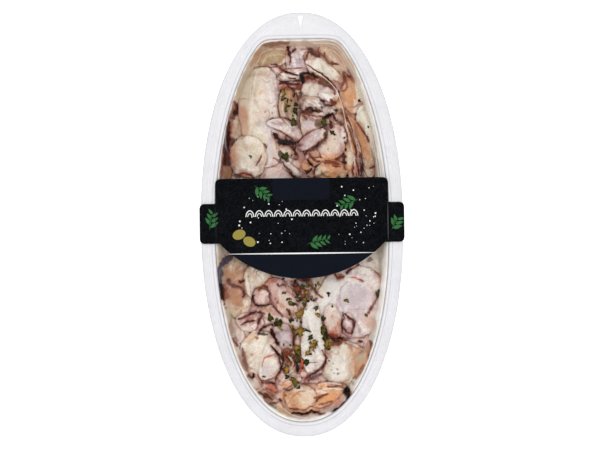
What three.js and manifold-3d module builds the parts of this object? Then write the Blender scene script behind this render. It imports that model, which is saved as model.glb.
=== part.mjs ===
// Sealed oval pack of thinly sliced cooked octopus.
// A thermoformed tray with a broad sealing flange holds a shallow pool of marinade, the slices
// that lie over each other in it, and the parsley flakes on them. A clear film closes the flange
// and a die-cut label lies across the film.
// Millimetres, +Z up, +Y toward the wide peel end, origin under the middle of the pack.

import * as THREE from 'three';
import { mergeVertices } from 'three/addons/utils/BufferGeometryUtils.js';
import Module from 'manifold-3d';

// ---------------------------------------------------------------- driving dimensions

const GAP = 0.3; // clearance between pieces that lie on each other

const FLANGE = {
  halfWidth: 64.5,
  halfLength: 135,
  squareness: 2.15,
  height: 18, // top of the flange above the table
  lipDrop: 2.6, // the outer lip turns down by this much
  lipWidth: 1,
  lipLean: 0.3, // how far the lip's top stands in from its foot
  cornerWidth: 0.6,
  cornerDrop: 0.5,
  grooveInset: 3.8,
  grooveWidth: 1.5,
  grooveSlope: 0.5, // width of each of the groove's sides
  grooveDepth: 0.5,
};

const CAVITY = {
  centreY: -3.5,
  halfWidth: 55.4,
  footSquareness: 2.15,
  footLength: 122.3, // centre to the round end
  headSquareness: 2.02,
  headLength: 134, // half length of the other end before it is cut flat
  headCut: 121.7, // centre to that flat end
  cornerSharpness: 60,
  wall: 0.8,
  floor: 1,
  edgeDrop: 0.4,
  ledgeDrop: 3.6, // stacking ledge below the flange
  ledgeInset: 0.3,
  ledgeWidth: 0.4,
  ledgeSlope: 0.4,
  draft: 0.9, // how far the wall leans in from the ledge to the floor
  footRise: 1.2,
  footWidth: 2,
};

const POOL = { depth: 1.1, inset: 2.4, footInset: 4.3 };
const FILM = { thickness: 0.3, inset: 1 };

const LABEL = {
  thickness: 0.3,
  halfWidth: 54.9,
  top: 29.5,
  cornerRadius: 4,
  tabHalfWidth: 65,
  tabTop: 13.7,
  tabBottom: -11.7,
  tabRadius: 3.5,
  arcHalfWidth: 52.4,
  arcRadius: 72,
};

const ROUND_STEPS = 60; // points round the tray, pool and film
const SLICE = {
  wallInset: 2.2, // how far slices keep from the rim of the cavity
  thickness: 1.8,
  edge: 0.7, // thickness at the cut edge
  innerRing: 0.55,
  outerRing: 0.88,
  outerShare: 0.82, // thickness at the outer ring, as a share of the whole
  fewestSteps: 10, // points round the smallest slices
  mostSteps: 18,
  stepsAtNone: 8.4, // points round a slice of no size, before rounding
  stepWidth: 4.5, // each this much more half width or half length adds one point
  bendRest: 0.33, // bowing leaves this share of the half length, squared, in place
};

const FLAKE = {
  sides: 6,
  thickness: 0.5,
  sunk: 0.6,
  apart: 0.4,
  longestReach: 1.2, // furthest corner of a flake, as a share of its radius
  shortestReach: 0.7,
  margin: 1.2, // to the edge of the slice that it lies on
  shrink: 0.85, // a flake without room is tried again at this share of its size
  smallest: 0.45, // and given up below this share of its radius
  firstSeed: 100,
};

const COLOURS = {
  tray: 0xe8e7ea,
  pool: 0xb08d6a,
  film: 0xf4f6f8,
  label: 0x17191c,
  cream: 0xe9ddcc,
  white: 0xefe9e4,
  lilac: 0xdcd3d6,
  pink: 0xe2cdc6,
  beige: 0xcdb79d,
  orange: 0xd6ab82,
  olive: 0xb8a27c,
  dark: 0x7d5349,
};

// ---------------------------------------------------------------- the slices, lowest first

// at: centre. half: half width and half length. turn: degrees, counterclockwise from +Y.
// square: 2 is an oval, more is boxier. taper: widens the +Y end. bend: bows the length.
// ragged: how uneven the edge is. thick: thickness if it isn't the usual one.
const BED = 3.6; // the slices under the others stand for several that lie tight together
const SLICES = [
  { name: 'bed_head', at: [0, 96], half: [30, 21], turn: 0, colour: 'dark', square: 3.2, thick: BED },
  { name: 'bed_left', at: [-26, 63], half: [24, 33], turn: 4, colour: 'dark', thick: BED },
  { name: 'bed_right', at: [24, 61], half: [25, 33], turn: -4, colour: 'dark', thick: BED },
  { name: 'bed_middle_left', at: [-26, 8], half: [29, 29], turn: 0, colour: 'cream', thick: BED },
  { name: 'bed_middle_right', at: [26, 8], half: [29, 29], turn: 0, colour: 'beige', thick: BED },
  { name: 'bed_low_left', at: [-26.5, -51], half: [28, 32], turn: 4, colour: 'dark', thick: BED },
  { name: 'bed_low_right', at: [26.5, -51], half: [28, 32], turn: -4, colour: 'cream', thick: BED },
  { name: 'bed_foot', at: [2, -95], half: [31, 28], turn: 0, colour: 'dark', thick: BED },
  { name: 'middle_left', at: [-20, 8], half: [23, 21], turn: 10, colour: 'pink' },
  { name: 'middle_right', at: [21, 7], half: [23, 21], turn: -10, colour: 'orange' },

  { name: 'olive', at: [-20.5, 109], half: [13, 8], turn: 0, colour: 'olive', square: 3 },
  { name: 'corner', at: [24, 103.5], half: [9, 16], turn: 35, colour: 'cream' },
  { name: 'tan_round', at: [33.5, 82.5], half: [8.2, 11.8], turn: 12, colour: 'orange' },
  { name: 'pale_edge', at: [45, 52], half: [7, 25], turn: 14, colour: 'cream' },
  { name: 'tan_band', at: [38, 50], half: [4.8, 22], turn: 22, colour: 'orange', bend: -0.1 },
  { name: 'side_strip', at: [35, 43], half: [3.4, 17], turn: 8, colour: 'beige' },
  { name: 'sucker_strip', at: [30.5, 47], half: [4, 20], turn: 6, colour: 'orange', thick: 2.4 },
  { name: 'skin_left', at: [-47, 47], half: [5.4, 21.5], turn: -8, colour: 'dark' },
  { name: 'scalloped', at: [-39, 66.5], half: [9, 13], turn: -10, colour: 'beige', ragged: 0.09 },
  { name: 'pink_low', at: [-13.5, 34], half: [14, 9.5], turn: 35, colour: 'pink' },
  { name: 'big_white', at: [-24, 68.5], half: [15, 32.5], turn: 5, colour: 'white', taper: 0.12 },
  { name: 'disc', at: [-34, 43.5], half: [12, 13.5], turn: 0, colour: 'cream', ragged: 0.03 },
  { name: 'neck_fold', at: [-1.5, 104], half: [7.6, 11.5], turn: 0, colour: 'lilac', square: 3 },
  { name: 'frill', at: [-5, 95.5], half: [10, 4], turn: 8, colour: 'white', ragged: 0.1 },
  { name: 'long_cream', at: [15.5, 97], half: [6.4, 17], turn: 48, colour: 'cream', bend: 0.12 },
  { name: 'brown_fold', at: [-6, 86.5], half: [8.5, 5.2], turn: 0, colour: 'dark', ragged: 0.1 },
  { name: 'ringed', at: [-7.5, 74], half: [6.6, 13], turn: 5, colour: 'beige' },
  { name: 'lilac_fold', at: [12.5, 84], half: [12.3, 9], turn: -20, colour: 'lilac' },
  { name: 'rough', at: [10.5, 75], half: [12.2, 5.8], turn: -18, colour: 'white', ragged: 0.12 },
  { name: 'crescent', at: [-9, 61], half: [4.4, 13], turn: 60, colour: 'lilac', bend: -0.3, thick: 2.8 },
  { name: 'pink_round', at: [19.7, 52.5], half: [9, 12.3], turn: -15, colour: 'pink' },
  { name: 'finger', at: [7, 54.3], half: [4.1, 11], turn: -56, colour: 'lilac', square: 2.6, thick: 3 },
  { name: 'cream_shred', at: [-7.5, 46.5], half: [3, 7], turn: 58, colour: 'cream' },
  { name: 'cream_strip', at: [-6, 35], half: [3, 8], turn: 50, colour: 'white' },
  { name: 'orange_left', at: [8, 37], half: [8.5, 6], turn: 10, colour: 'orange', ragged: 0.1 },
  { name: 'orange_right', at: [19, 33.5], half: [10.4, 7.2], turn: 0, colour: 'orange' },

  { name: 'left_beige', at: [-42.5, -39], half: [10, 20.5], turn: 6, colour: 'beige' },
  { name: 'left_cream', at: [-28.5, -36], half: [8.6, 13], turn: 0, colour: 'cream' },
  { name: 'pale_left', at: [-42, -77], half: [7, 18], turn: 14, colour: 'lilac' },
  { name: 'right_cream', at: [39.5, -27], half: [15, 16.5], turn: 0, colour: 'cream' },
  { name: 'right_round', at: [31.5, -50], half: [22.5, 23.5], turn: 0, colour: 'lilac', square: 2.3 },
  { name: 'dark_fold', at: [0, -40.5], half: [6, 7.2], turn: 0, colour: 'dark', ragged: 0.12 },
  { name: 'pink_band', at: [-12.5, -47], half: [7.8, 15], turn: 35, colour: 'pink' },
  { name: 'small_disc', at: [-26.5, -46], half: [5.4, 5.6], turn: 0, colour: 'pink', thick: 2.6 },
  { name: 'purple_fold', at: [-34, -62], half: [9.2, 5.9], turn: -10, colour: 'pink' },
  { name: 'mottled', at: [-13.5, -72.5], half: [7.8, 9.6], turn: 0, colour: 'lilac' },
  { name: 'shreds', at: [-8.5, -87.5], half: [6, 8.6], turn: 0, colour: 'dark', ragged: 0.14 },
  { name: 'big_cream', at: [-27, -84], half: [13.2, 16.2], turn: 12, colour: 'cream', taper: 0.05 },
  { name: 'big_beige', at: [27, -89.5], half: [20.5, 14.5], turn: -22, colour: 'beige', taper: 0.1 },
  { name: 'orange_foot', at: [9, -112], half: [21.5, 10.8], turn: 10, colour: 'orange' },
  { name: 'orange_curl', at: [-2.5, -110], half: [10.4, 8.2], turn: 0, colour: 'orange' },
  { name: 'grey_strip', at: [-21.5, -112.5], half: [3.8, 10.5], turn: 53, colour: 'beige' },
  { name: 'cream_bits', at: [-32.5, -100], half: [5.2, 7.4], turn: 20, colour: 'pink', ragged: 0.14 },
  { name: 'white_tall', at: [6, -73.5], half: [7.5, 25.6], turn: 2, colour: 'white', taper: -0.12 },
  { name: 'white_fold', at: [19, -62], half: [5.8, 11], turn: 10, colour: 'white' },
  { name: 'loop', at: [28.5, -64], half: [3.9, 7.7], turn: 0, colour: 'lilac', thick: 2.4 },
];

// ---------------------------------------------------------------- the parsley and the chilli

// Centre and radius of each large flake, then heaps of small ones.
const FLAKES = [
  [-3.6, 72.7, 2.5],
  [-4.4, 65.2, 2.6],
  [-12, 85, 1.2],
  [14.8, 65.6, 2.6],
  [19.7, 58, 1.6],
  [-33, 44, 1.1],
  [38.2, 78.5, 1.1],
  [43, 62, 1],
  [-9.8, 43.5, 2.2],
  [10.3, -37.8, 1.3],
  [-12, -43.6, 1.2],
  [-3.3, -57.4, 2.3],
  [9, -53.6, 1.8],
  [9.5, -58.2, 1.5],
  [16, -45.4, 1.1],
  [27.4, -49.2, 1.3],
  [48.3, -45.5, 1.4],
  [40.6, -58.7, 1.2],
  [-21, -59.4, 2.1],
  [-15.3, -63.4, 2.2],
  [-2.8, -68.2, 2.4],
  [2.4, -67.5, 1.7],
  [5.6, -73, 1.9],
  [4.8, -77.4, 2.4],
  [2.9, -81.2, 1.8],
  [14.5, -70.5, 2.1],
  [15.6, -76.4, 2.2],
  [-3.6, -81.5, 1.6],
  [1.6, -88.6, 1.7],
  [-10.6, -92.5, 1.8],
  [-5, -100.5, 2.2],
];
const HEAPS = [
  { at: [-8, 80.5], spread: [5, 6], count: 7, radius: 1.1 },
  { at: [0.5, -45], spread: [9, 6], count: 9, radius: 1.3 },
  { at: [-1, -62], spread: [9, 10], count: 7, radius: 1 },
];
const HEAP_SIZES = [0.7, 1.3]; // smallest and largest share of a heap's radius
const DRAWS = { lean: 9, across: 11, along: 12, size: 13 }; // which draw of a flake sets what
const CHILLI = { at: [-0.8, -86.5], half: [0.8, 2.6], turn: 8 };

// ---------------------------------------------------------------- outlines

const TURN = 2 * Math.PI;

/** Repeatable number from 0 to 1 for item i and draw k. */
function draw(i, k) {
  const wave = Math.sin(i * 12.9898 + k * 78.233) * 43758.5453;
  return wave - Math.floor(wave);
}

/** Distance from the middle of a superellipse to its edge in direction angle. */
function superRadius(angle, halfX, halfY, power) {
  const x = Math.abs(Math.cos(angle) / halfX) ** power;
  const y = Math.abs(Math.sin(angle) / halfY) ** power;
  return (x + y) ** (-1 / power);
}

/** Direction of step i of the tray's outline, spaced evenly along its long sides. */
function stepAngle(i) {
  const even = (TURN * i) / ROUND_STEPS;
  return Math.atan2(FLANGE.halfLength * Math.sin(even), FLANGE.halfWidth * Math.cos(even));
}

/** Distance from the cavity's centre to a line that lies inset inside its rim. */
function cavityRadius(angle, inset) {
  const { footLength, footSquareness, headLength, headSquareness, cornerSharpness } = CAVITY;
  const halfWidth = CAVITY.halfWidth - inset;
  if (Math.sin(angle) <= 0) {
    return superRadius(angle, halfWidth, footLength - inset, footSquareness);
  }
  const round = superRadius(angle, halfWidth, headLength - inset, headSquareness);
  const flat = (CAVITY.headCut - inset) / Math.sin(angle);
  return (round ** -cornerSharpness + flat ** -cornerSharpness) ** (-1 / cornerSharpness);
}

/** Closed ring that runs inset inside the cavity's rim, at height z. */
function cavityRing(inset, z) {
  return Array.from({ length: ROUND_STEPS }, (_, i) => {
    const angle = stepAngle(i);
    const radius = cavityRadius(angle, inset);
    return [radius * Math.cos(angle), CAVITY.centreY + radius * Math.sin(angle), z];
  });
}

/** Closed ring that runs inset inside the flange's outer edge, at height z. */
function flangeRing(inset, z) {
  const { halfWidth, halfLength, squareness } = FLANGE;
  return Array.from({ length: ROUND_STEPS }, (_, i) => {
    const angle = stepAngle(i);
    const radius = superRadius(angle, halfWidth - inset, halfLength - inset, squareness);
    return [radius * Math.cos(angle), radius * Math.sin(angle), z];
  });
}

// ---------------------------------------------------------------- solids

/** Closed solid through rings that run counterclockwise, from its underside round to its top. */
function loft(rings, bottomPole, topPole) {
  const steps = rings[0].length;
  const top = rings.length * steps + 1;
  const positions = [...rings.flat(2), ...bottomPole, ...topPole];
  const index = [];
  for (let i = 0; i < steps; i += 1) {
    const next = (i + 1) % steps;
    index.push(top - 1, next, i);
    for (let r = 0; r < rings.length - 1; r += 1) {
      const low = r * steps;
      const high = low + steps;
      index.push(low + i, low + next, high + next, low + i, high + next, high + i);
    }
    const last = (rings.length - 1) * steps;
    index.push(last + i, last + next, top);
  }
  const geometry = new THREE.BufferGeometry();
  geometry.setAttribute('position', new THREE.Float32BufferAttribute(positions, 3));
  geometry.setIndex(index);
  geometry.computeVertexNormals();
  return geometry;
}

function makeTray() {
  const { height, lipDrop, lipWidth, lipLean, cornerWidth, cornerDrop } = FLANGE;
  const { grooveInset, grooveWidth, grooveSlope, grooveDepth } = FLANGE;
  const { wall, floor, edgeDrop, ledgeDrop, ledgeInset, ledgeWidth, ledgeSlope } = CAVITY;
  const { draft, footRise, footWidth, centreY } = CAVITY;
  const ledge = ledgeInset + ledgeWidth;
  const foot = ledge + draft;
  const under = height - wall;
  const lipFoot = height - lipDrop;
  const grooveFloor = height - grooveDepth;
  const grooveEnd = grooveInset + grooveWidth;
  const rings = [
    cavityRing(foot + footWidth - wall, 0),
    cavityRing(foot - wall, footRise + floor - wall),
    cavityRing(ledge - wall, height - ledgeDrop - wall),
    cavityRing(ledgeInset - wall, height - ledgeDrop + ledgeSlope - wall),
    cavityRing(-wall, under),
    flangeRing(lipWidth + lipLean, under),
    flangeRing(lipWidth, lipFoot),
    flangeRing(0, lipFoot),
    flangeRing(lipLean, height - cornerDrop),
    flangeRing(lipLean + cornerWidth, height),
    flangeRing(grooveInset, height),
    flangeRing(grooveInset + grooveSlope, grooveFloor),
    flangeRing(grooveEnd - grooveSlope, grooveFloor),
    flangeRing(grooveEnd, height),
    cavityRing(-edgeDrop, height),
    cavityRing(0, height - edgeDrop),
    cavityRing(ledgeInset, height - ledgeDrop + ledgeSlope),
    cavityRing(ledge, height - ledgeDrop),
    cavityRing(foot, footRise + floor),
    cavityRing(foot + footWidth, floor),
  ];
  return loft(rings, [0, centreY, 0], [0, centreY, floor]);
}

function makePool() {
  const low = CAVITY.floor + GAP;
  const high = low + POOL.depth;
  const rings = [cavityRing(POOL.footInset, low), cavityRing(POOL.inset, high)];
  return loft(rings, [0, CAVITY.centreY, low], [0, CAVITY.centreY, high]);
}

function makeFilm() {
  const low = FLANGE.height + GAP;
  const high = low + FILM.thickness;
  const rings = [flangeRing(FILM.inset, low), flangeRing(FILM.inset, high)];
  return loft(rings, [0, 0, low], [0, 0, high]);
}

/** Rounds one square corner of a shape, from the point before it to the point after it. */
function roundCorner(shape, x, y, radius, fromX, fromY, toX, toY) {
  shape.lineTo(x + fromX * radius, y + fromY * radius);
  shape.quadraticCurveTo(x, y, x + toX * radius, y + toY * radius);
}

function makeLabel() {
  const { halfWidth, top, cornerRadius, tabHalfWidth, tabTop, tabBottom, tabRadius } = LABEL;
  const { arcHalfWidth, arcRadius, thickness } = LABEL;
  const arcCentre = tabBottom + Math.sqrt(arcRadius ** 2 - arcHalfWidth ** 2);
  const spread = Math.asin(arcHalfWidth / arcRadius);
  const down = -Math.PI / 2;
  const shape = new THREE.Shape();
  shape.moveTo(-arcHalfWidth, tabBottom);
  shape.absarc(0, arcCentre, arcRadius, down - spread, down + spread, false);
  roundCorner(shape, tabHalfWidth, tabBottom, tabRadius, -1, 0, 0, 1);
  roundCorner(shape, tabHalfWidth, tabTop, tabRadius, 0, -1, -1, 0);
  shape.lineTo(halfWidth, tabTop);
  roundCorner(shape, halfWidth, top, cornerRadius, 0, -1, -1, 0);
  roundCorner(shape, -halfWidth, top, cornerRadius, 1, 0, 0, -1);
  shape.lineTo(-halfWidth, tabTop);
  roundCorner(shape, -tabHalfWidth, tabTop, tabRadius, 1, 0, 0, -1);
  roundCorner(shape, -tabHalfWidth, tabBottom, tabRadius, 0, 1, 1, 0);
  const flat = { depth: thickness, bevelEnabled: false, curveSegments: 8 };
  const geometry = new THREE.ExtrudeGeometry(shape, flat);
  geometry.translate(0, 0, FLANGE.height + FILM.thickness + 2 * GAP);
  return geometry;
}

// ---------------------------------------------------------------- the pile

const CELL = 0.6;
const NO_AREA = 1e-9; // facets smaller than this in plan stand upright and cover no cell
const COLUMNS = Math.ceil((2 * FLANGE.halfWidth) / CELL);
const ROWS = Math.ceil((2 * FLANGE.halfLength) / CELL);

/** Column or row of the cell that holds a coordinate. */
function cellOf(value, half) {
  return Math.floor((value + half) / CELL);
}

/** Heights of what lies in the tray so far, and which slice is on top in each cell. */
const pile = {
  heights: new Float64Array(COLUMNS * ROWS),
  owners: new Int32Array(COLUMNS * ROWS).fill(-1),
};

function cellAt(x, y) {
  const column = cellOf(x, FLANGE.halfWidth);
  const row = cellOf(y, FLANGE.halfLength);
  return row * COLUMNS + column;
}

/** Starts the pile as the pool's surface, which curves up a little toward the wall. */
function floodPile() {
  const upturnWidth = 8;
  const upturnRise = 1.6;
  const level = CAVITY.floor + GAP + POOL.depth;
  for (let row = 0; row < ROWS; row += 1) {
    for (let column = 0; column < COLUMNS; column += 1) {
      const x = (column + 0.5) * CELL - FLANGE.halfWidth;
      const y = (row + 0.5) * CELL - FLANGE.halfLength;
      const angle = Math.atan2(y - CAVITY.centreY, x);
      const room = cavityRadius(angle, SLICE.wallInset) - Math.hypot(x, y - CAVITY.centreY);
      const near = THREE.MathUtils.clamp(1 - room / upturnWidth, 0, 1);
      pile.heights[row * COLUMNS + column] = level + upturnRise * near ** 2;
    }
  }
}

/** Calls visit(cell, weights) for each cell whose middle is over the triangle a, b, c. */
function eachCell(a, b, c, visit) {
  const area = (b[0] - a[0]) * (c[1] - a[1]) - (c[0] - a[0]) * (b[1] - a[1]);
  if (Math.abs(area) < NO_AREA) return;
  const xs = [a[0], b[0], c[0]];
  const ys = [a[1], b[1], c[1]];
  const firstRow = cellOf(Math.min(...ys), FLANGE.halfLength);
  const lastRow = cellOf(Math.max(...ys), FLANGE.halfLength);
  const firstColumn = cellOf(Math.min(...xs), FLANGE.halfWidth);
  const lastColumn = cellOf(Math.max(...xs), FLANGE.halfWidth);
  for (let row = firstRow; row <= lastRow; row += 1) {
    const y = (row + 0.5) * CELL - FLANGE.halfLength;
    for (let column = firstColumn; column <= lastColumn; column += 1) {
      const x = (column + 0.5) * CELL - FLANGE.halfWidth;
      const wb = ((x - a[0]) * (c[1] - a[1]) - (c[0] - a[0]) * (y - a[1])) / area;
      const wc = ((b[0] - a[0]) * (y - a[1]) - (x - a[0]) * (b[1] - a[1])) / area;
      const wa = 1 - wb - wc;
      if (Math.min(wa, wb, wc) >= 0) visit(row * COLUMNS + column, [wa, wb, wc]);
    }
  }
}

/** Mean height of the pile within reach of a point, which is how a limp slice spans hollows. */
function meanHeight(x, y, reach) {
  let sum = 0;
  let count = 0;
  for (let dx = -reach; dx <= reach; dx += CELL) {
    for (let dy = -reach; dy <= reach; dy += CELL) {
      const height = pile.heights[cellAt(x + dx, y + dy)];
      if (height === undefined) continue;
      sum += height;
      count += 1;
    }
  }
  return sum / count;
}

// ---------------------------------------------------------------- slices

// Lobes round a slice's edge, and their share of its unevenness.
const WAVES = [
  [3, 0.5],
  [5, 0.3],
  [8, 0.2],
];

/** Plan position of the point at share t from a slice's middle to its edge, in direction angle. */
function slicePoint(spec, seed, t, angle) {
  const { at, half, turn, square = 2.2, taper = 0, bend = 0, ragged = 0.05 } = spec;
  const cos = Math.cos(angle);
  const sin = Math.sin(angle);
  const waves = WAVES.map(([lobes, share], k) => share * Math.sin(lobes * angle + TURN * draw(seed, k)));
  const uneven = 1 + ragged * waves.reduce((sum, wave) => sum + wave, 0);
  const u = Math.sign(cos) * Math.abs(cos) ** (2 / square) * uneven * t;
  const v = Math.sign(sin) * Math.abs(sin) ** (2 / square) * uneven * t;
  const x = half[0] * u * (1 + taper * v) + bend * half[1] * (v ** 2 - SLICE.bendRest);
  const y = half[1] * v;
  const lean = THREE.MathUtils.degToRad(turn);
  return [
    at[0] + x * Math.cos(lean) - y * Math.sin(lean),
    at[1] + x * Math.sin(lean) + y * Math.cos(lean),
  ];
}

/** How far a point has to move to stand clear of the tray's wall. */
function wallPush([x, y]) {
  const dy = y - CAVITY.centreY;
  const radius = Math.hypot(x, dy);
  const room = cavityRadius(Math.atan2(dy, x), SLICE.wallInset);
  const share = radius > room ? room / radius - 1 : 0;
  return [x * share, dy * share];
}

/** One ring of a slice, pushed in from the wall with its edge. */
function sliceRing(spec, seed, t, steps) {
  return Array.from({ length: steps }, (_, i) => {
    const angle = (TURN * (i + 0.5)) / steps;
    const push = wallPush(slicePoint(spec, seed, 1, angle));
    const [x, y] = slicePoint(spec, seed, t, angle);
    return [x + push[0] * t, y + push[1] * t, 0];
  });
}

/** Triangles of a fan between a ring and a point in its middle. */
function fanFacets(ring, middle) {
  return ring.map((point, i) => [middle, point, ring[(i + 1) % ring.length]]);
}

/** Triangles between two neighbouring rings, split along the same diagonal as in loft. */
function bandFacets(low, high) {
  return low.flatMap((point, i) => {
    const next = (i + 1) % low.length;
    return [[point, low[next], high[next]], [point, high[next], high[i]]];
  });
}

/** Lifts the underside of a slice until it clears what it lies on. */
function settle(middle, inner, rim) {
  const reach = 1.8;
  const rounds = 40;
  const points = [middle, ...inner, ...rim];
  for (const point of points) point[2] = meanHeight(point[0], point[1], reach) + GAP;
  const facets = [...fanFacets(inner, middle), ...bandFacets(inner, rim)];
  for (let round = 0; round <= rounds; round += 1) {
    let worst = 0;
    for (const facet of facets) {
      eachCell(...facet, (cell, weights) => {
        const height = facet.reduce((sum, point, k) => sum + weights[k] * point[2], 0);
        const short = pile.heights[cell] + GAP - height;
        if (short <= 0) return;
        worst = Math.max(worst, short);
        const scale = weights.reduce((sum, w) => sum + w * w, 0);
        if (round === rounds) return;
        facet.forEach((point, k) => {
          point[2] += (short * weights[k]) / scale;
        });
      });
    }
    if (round === rounds) for (const point of points) point[2] += worst;
  }
}

/** Raises the pile to the top of a slice that has settled. */
function coverPile(facets, owner) {
  for (const facet of facets) {
    eachCell(...facet, (cell, weights) => {
      const height = facet.reduce((sum, point, k) => sum + weights[k] * point[2], 0);
      if (height < pile.heights[cell]) return;
      pile.heights[cell] = height;
      pile.owners[cell] = owner;
    });
  }
}

/** Even number of points round a slice, which grows with its size. */
function sliceSteps({ half }) {
  const { fewestSteps, mostSteps, stepsAtNone, stepWidth } = SLICE;
  const wanted = stepsAtNone + (half[0] + half[1]) / stepWidth;
  return 2 * Math.round(THREE.MathUtils.clamp(wanted, fewestSteps, mostSteps) / 2);
}

function makeSlice(spec, seed) {
  const { innerRing, outerRing, outerShare, edge, thickness } = SLICE;
  const thick = spec.thick ?? thickness;
  const steps = sliceSteps(spec);
  const [x, y] = slicePoint(spec, seed, 0, 0);
  const middle = [x, y, 0];
  const inner = sliceRing(spec, seed, innerRing, steps);
  const rim = sliceRing(spec, seed, 1, steps);
  settle(middle, inner, rim);
  const top = [x, y, middle[2] + thick];
  const topInner = inner.map(([px, py, pz]) => [px, py, pz + thick]);
  const share = (outerRing - innerRing) / (1 - innerRing);
  const topOuter = sliceRing(spec, seed, outerRing, steps).map(([px, py], i) => {
    const base = THREE.MathUtils.lerp(inner[i][2], rim[i][2], share);
    return [px, py, base + thick * outerShare];
  });
  for (const point of rim) point[2] += edge / 2;
  const slope = [...bandFacets(rim, topOuter), ...bandFacets(topOuter, topInner)];
  coverPile([...slope, ...fanFacets(topInner, top)], seed);
  return loft([inner, rim, topOuter, topInner], middle, top);
}

// ---------------------------------------------------------------- flakes

/** True where a flake's whole outline lies on one slice. */
function liesOn(owner, outline) {
  return outline.every(([x, y]) => pile.owners[cellAt(x, y)] === owner);
}

/** Uneven outline of a flake in plan. */
function flakeOutline(x, y, radius, seed) {
  return Array.from({ length: FLAKE.sides }, (_, i) => {
    const angle = (TURN * (i + draw(seed, DRAWS.lean))) / FLAKE.sides;
    const reach = radius * THREE.MathUtils.lerp(FLAKE.shortestReach, FLAKE.longestReach, draw(seed, i));
    return [x + reach * Math.cos(angle), y + reach * Math.sin(angle)];
  });
}

/** Leaf-thin body that follows the top of the pile, sunk a little into it. */
function flakeBody(x, y, outline) {
  const height = (px, py) => pile.heights[cellAt(px, py)];
  const low = outline.map(([px, py]) => [px, py, height(px, py) - FLAKE.sunk]);
  const high = low.map(([px, py, pz]) => [px, py, pz + FLAKE.sunk + FLAKE.thickness]);
  const base = height(x, y);
  return loft([low, high], [x, y, base - FLAKE.sunk], [x, y, base + FLAKE.thickness]);
}

/** True where a flake of this size keeps clear of those that lie there already. */
function hasRoom(placed, x, y, size) {
  const { longestReach, apart } = FLAKE;
  return placed.every(([px, py, pr]) => {
    return Math.hypot(x - px, y - py) > longestReach * (size + pr) + apart;
  });
}

/** Adds one flake to the slice it lies on, smaller if it would reach another slice or flake. */
function placeFlake(bodies, placed, x, y, radius, seed) {
  const owner = pile.owners[cellAt(x, y)];
  if (owner < 0) return;
  for (let size = radius; size > radius * FLAKE.smallest; size *= FLAKE.shrink) {
    if (hasRoom(placed, x, y, size) && liesOn(owner, flakeOutline(x, y, size + FLAKE.margin, seed))) {
      placed.push([x, y, size]);
      bodies[owner].push(flakeBody(x, y, flakeOutline(x, y, size, seed)));
      return;
    }
  }
}

/** Corners of the chilli sliver in plan. */
function chilliOutline() {
  const lean = THREE.MathUtils.degToRad(CHILLI.turn);
  const corners = [[1, -1], [1, 1], [-1, 1], [-1, -1]];
  return corners.map(([sx, sy]) => {
    const x = sx * CHILLI.half[0];
    const y = sy * CHILLI.half[1];
    return [
      CHILLI.at[0] + x * Math.cos(lean) - y * Math.sin(lean),
      CHILLI.at[1] + x * Math.sin(lean) + y * Math.cos(lean),
    ];
  });
}

/** Flake and chilli bodies for each slice. */
function makeFlakes() {
  const bodies = SLICES.map(() => []);
  const placed = [[...CHILLI.at, CHILLI.half[0]]];
  let seed = FLAKE.firstSeed;
  for (const [x, y, radius] of FLAKES) {
    placeFlake(bodies, placed, x, y, radius, seed);
    seed += 1;
  }
  for (const { at, spread, count, radius } of HEAPS) {
    for (let i = 0; i < count; i += 1) {
      const x = at[0] + spread[0] * (2 * draw(seed, DRAWS.across) - 1);
      const y = at[1] + spread[1] * (2 * draw(seed, DRAWS.along) - 1);
      const share = THREE.MathUtils.lerp(HEAP_SIZES[0], HEAP_SIZES[1], draw(seed, DRAWS.size));
      placeFlake(bodies, placed, x, y, radius * share, seed);
      seed += 1;
    }
  }
  const owner = pile.owners[cellAt(...CHILLI.at)];
  if (liesOn(owner, chilliOutline())) {
    bodies[owner].push(flakeBody(...CHILLI.at, chilliOutline()));
  }
  return bodies;
}

// ---------------------------------------------------------------- joining

const WELD = 1e-4; // corners closer than this are one

const wasm = await Module();
wasm.setup();

function toManifold(geometry) {
  const plain = new THREE.BufferGeometry();
  plain.setAttribute('position', geometry.getAttribute('position'));
  plain.setIndex(geometry.getIndex());
  const merged = mergeVertices(plain, WELD);
  const vertProperties = new Float32Array(merged.getAttribute('position').array);
  const triVerts = new Uint32Array(merged.getIndex().array);
  return new wasm.Manifold(new wasm.Mesh({ numProp: 3, vertProperties, triVerts }));
}

function fromManifold(solid) {
  const { vertProperties, triVerts } = solid.getMesh();
  const geometry = new THREE.BufferGeometry();
  geometry.setAttribute('position', new THREE.BufferAttribute(vertProperties, 3));
  geometry.setIndex(new THREE.BufferAttribute(triVerts, 1));
  geometry.computeVertexNormals();
  return geometry;
}

/** Joins extra bodies to a slice. */
function join(geometry, extras) {
  if (extras.length === 0) return geometry;
  const solid = extras.reduce((sum, extra) => sum.add(toManifold(extra)), toManifold(geometry));
  return fromManifold(solid);
}

// ---------------------------------------------------------------- the pack

function makeMesh(name, geometry, colour, finish) {
  const material = new THREE.MeshStandardMaterial({ color: colour, metalness: 0, ...finish });
  const mesh = new THREE.Mesh(geometry, material);
  mesh.name = name;
  return mesh;
}

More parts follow.
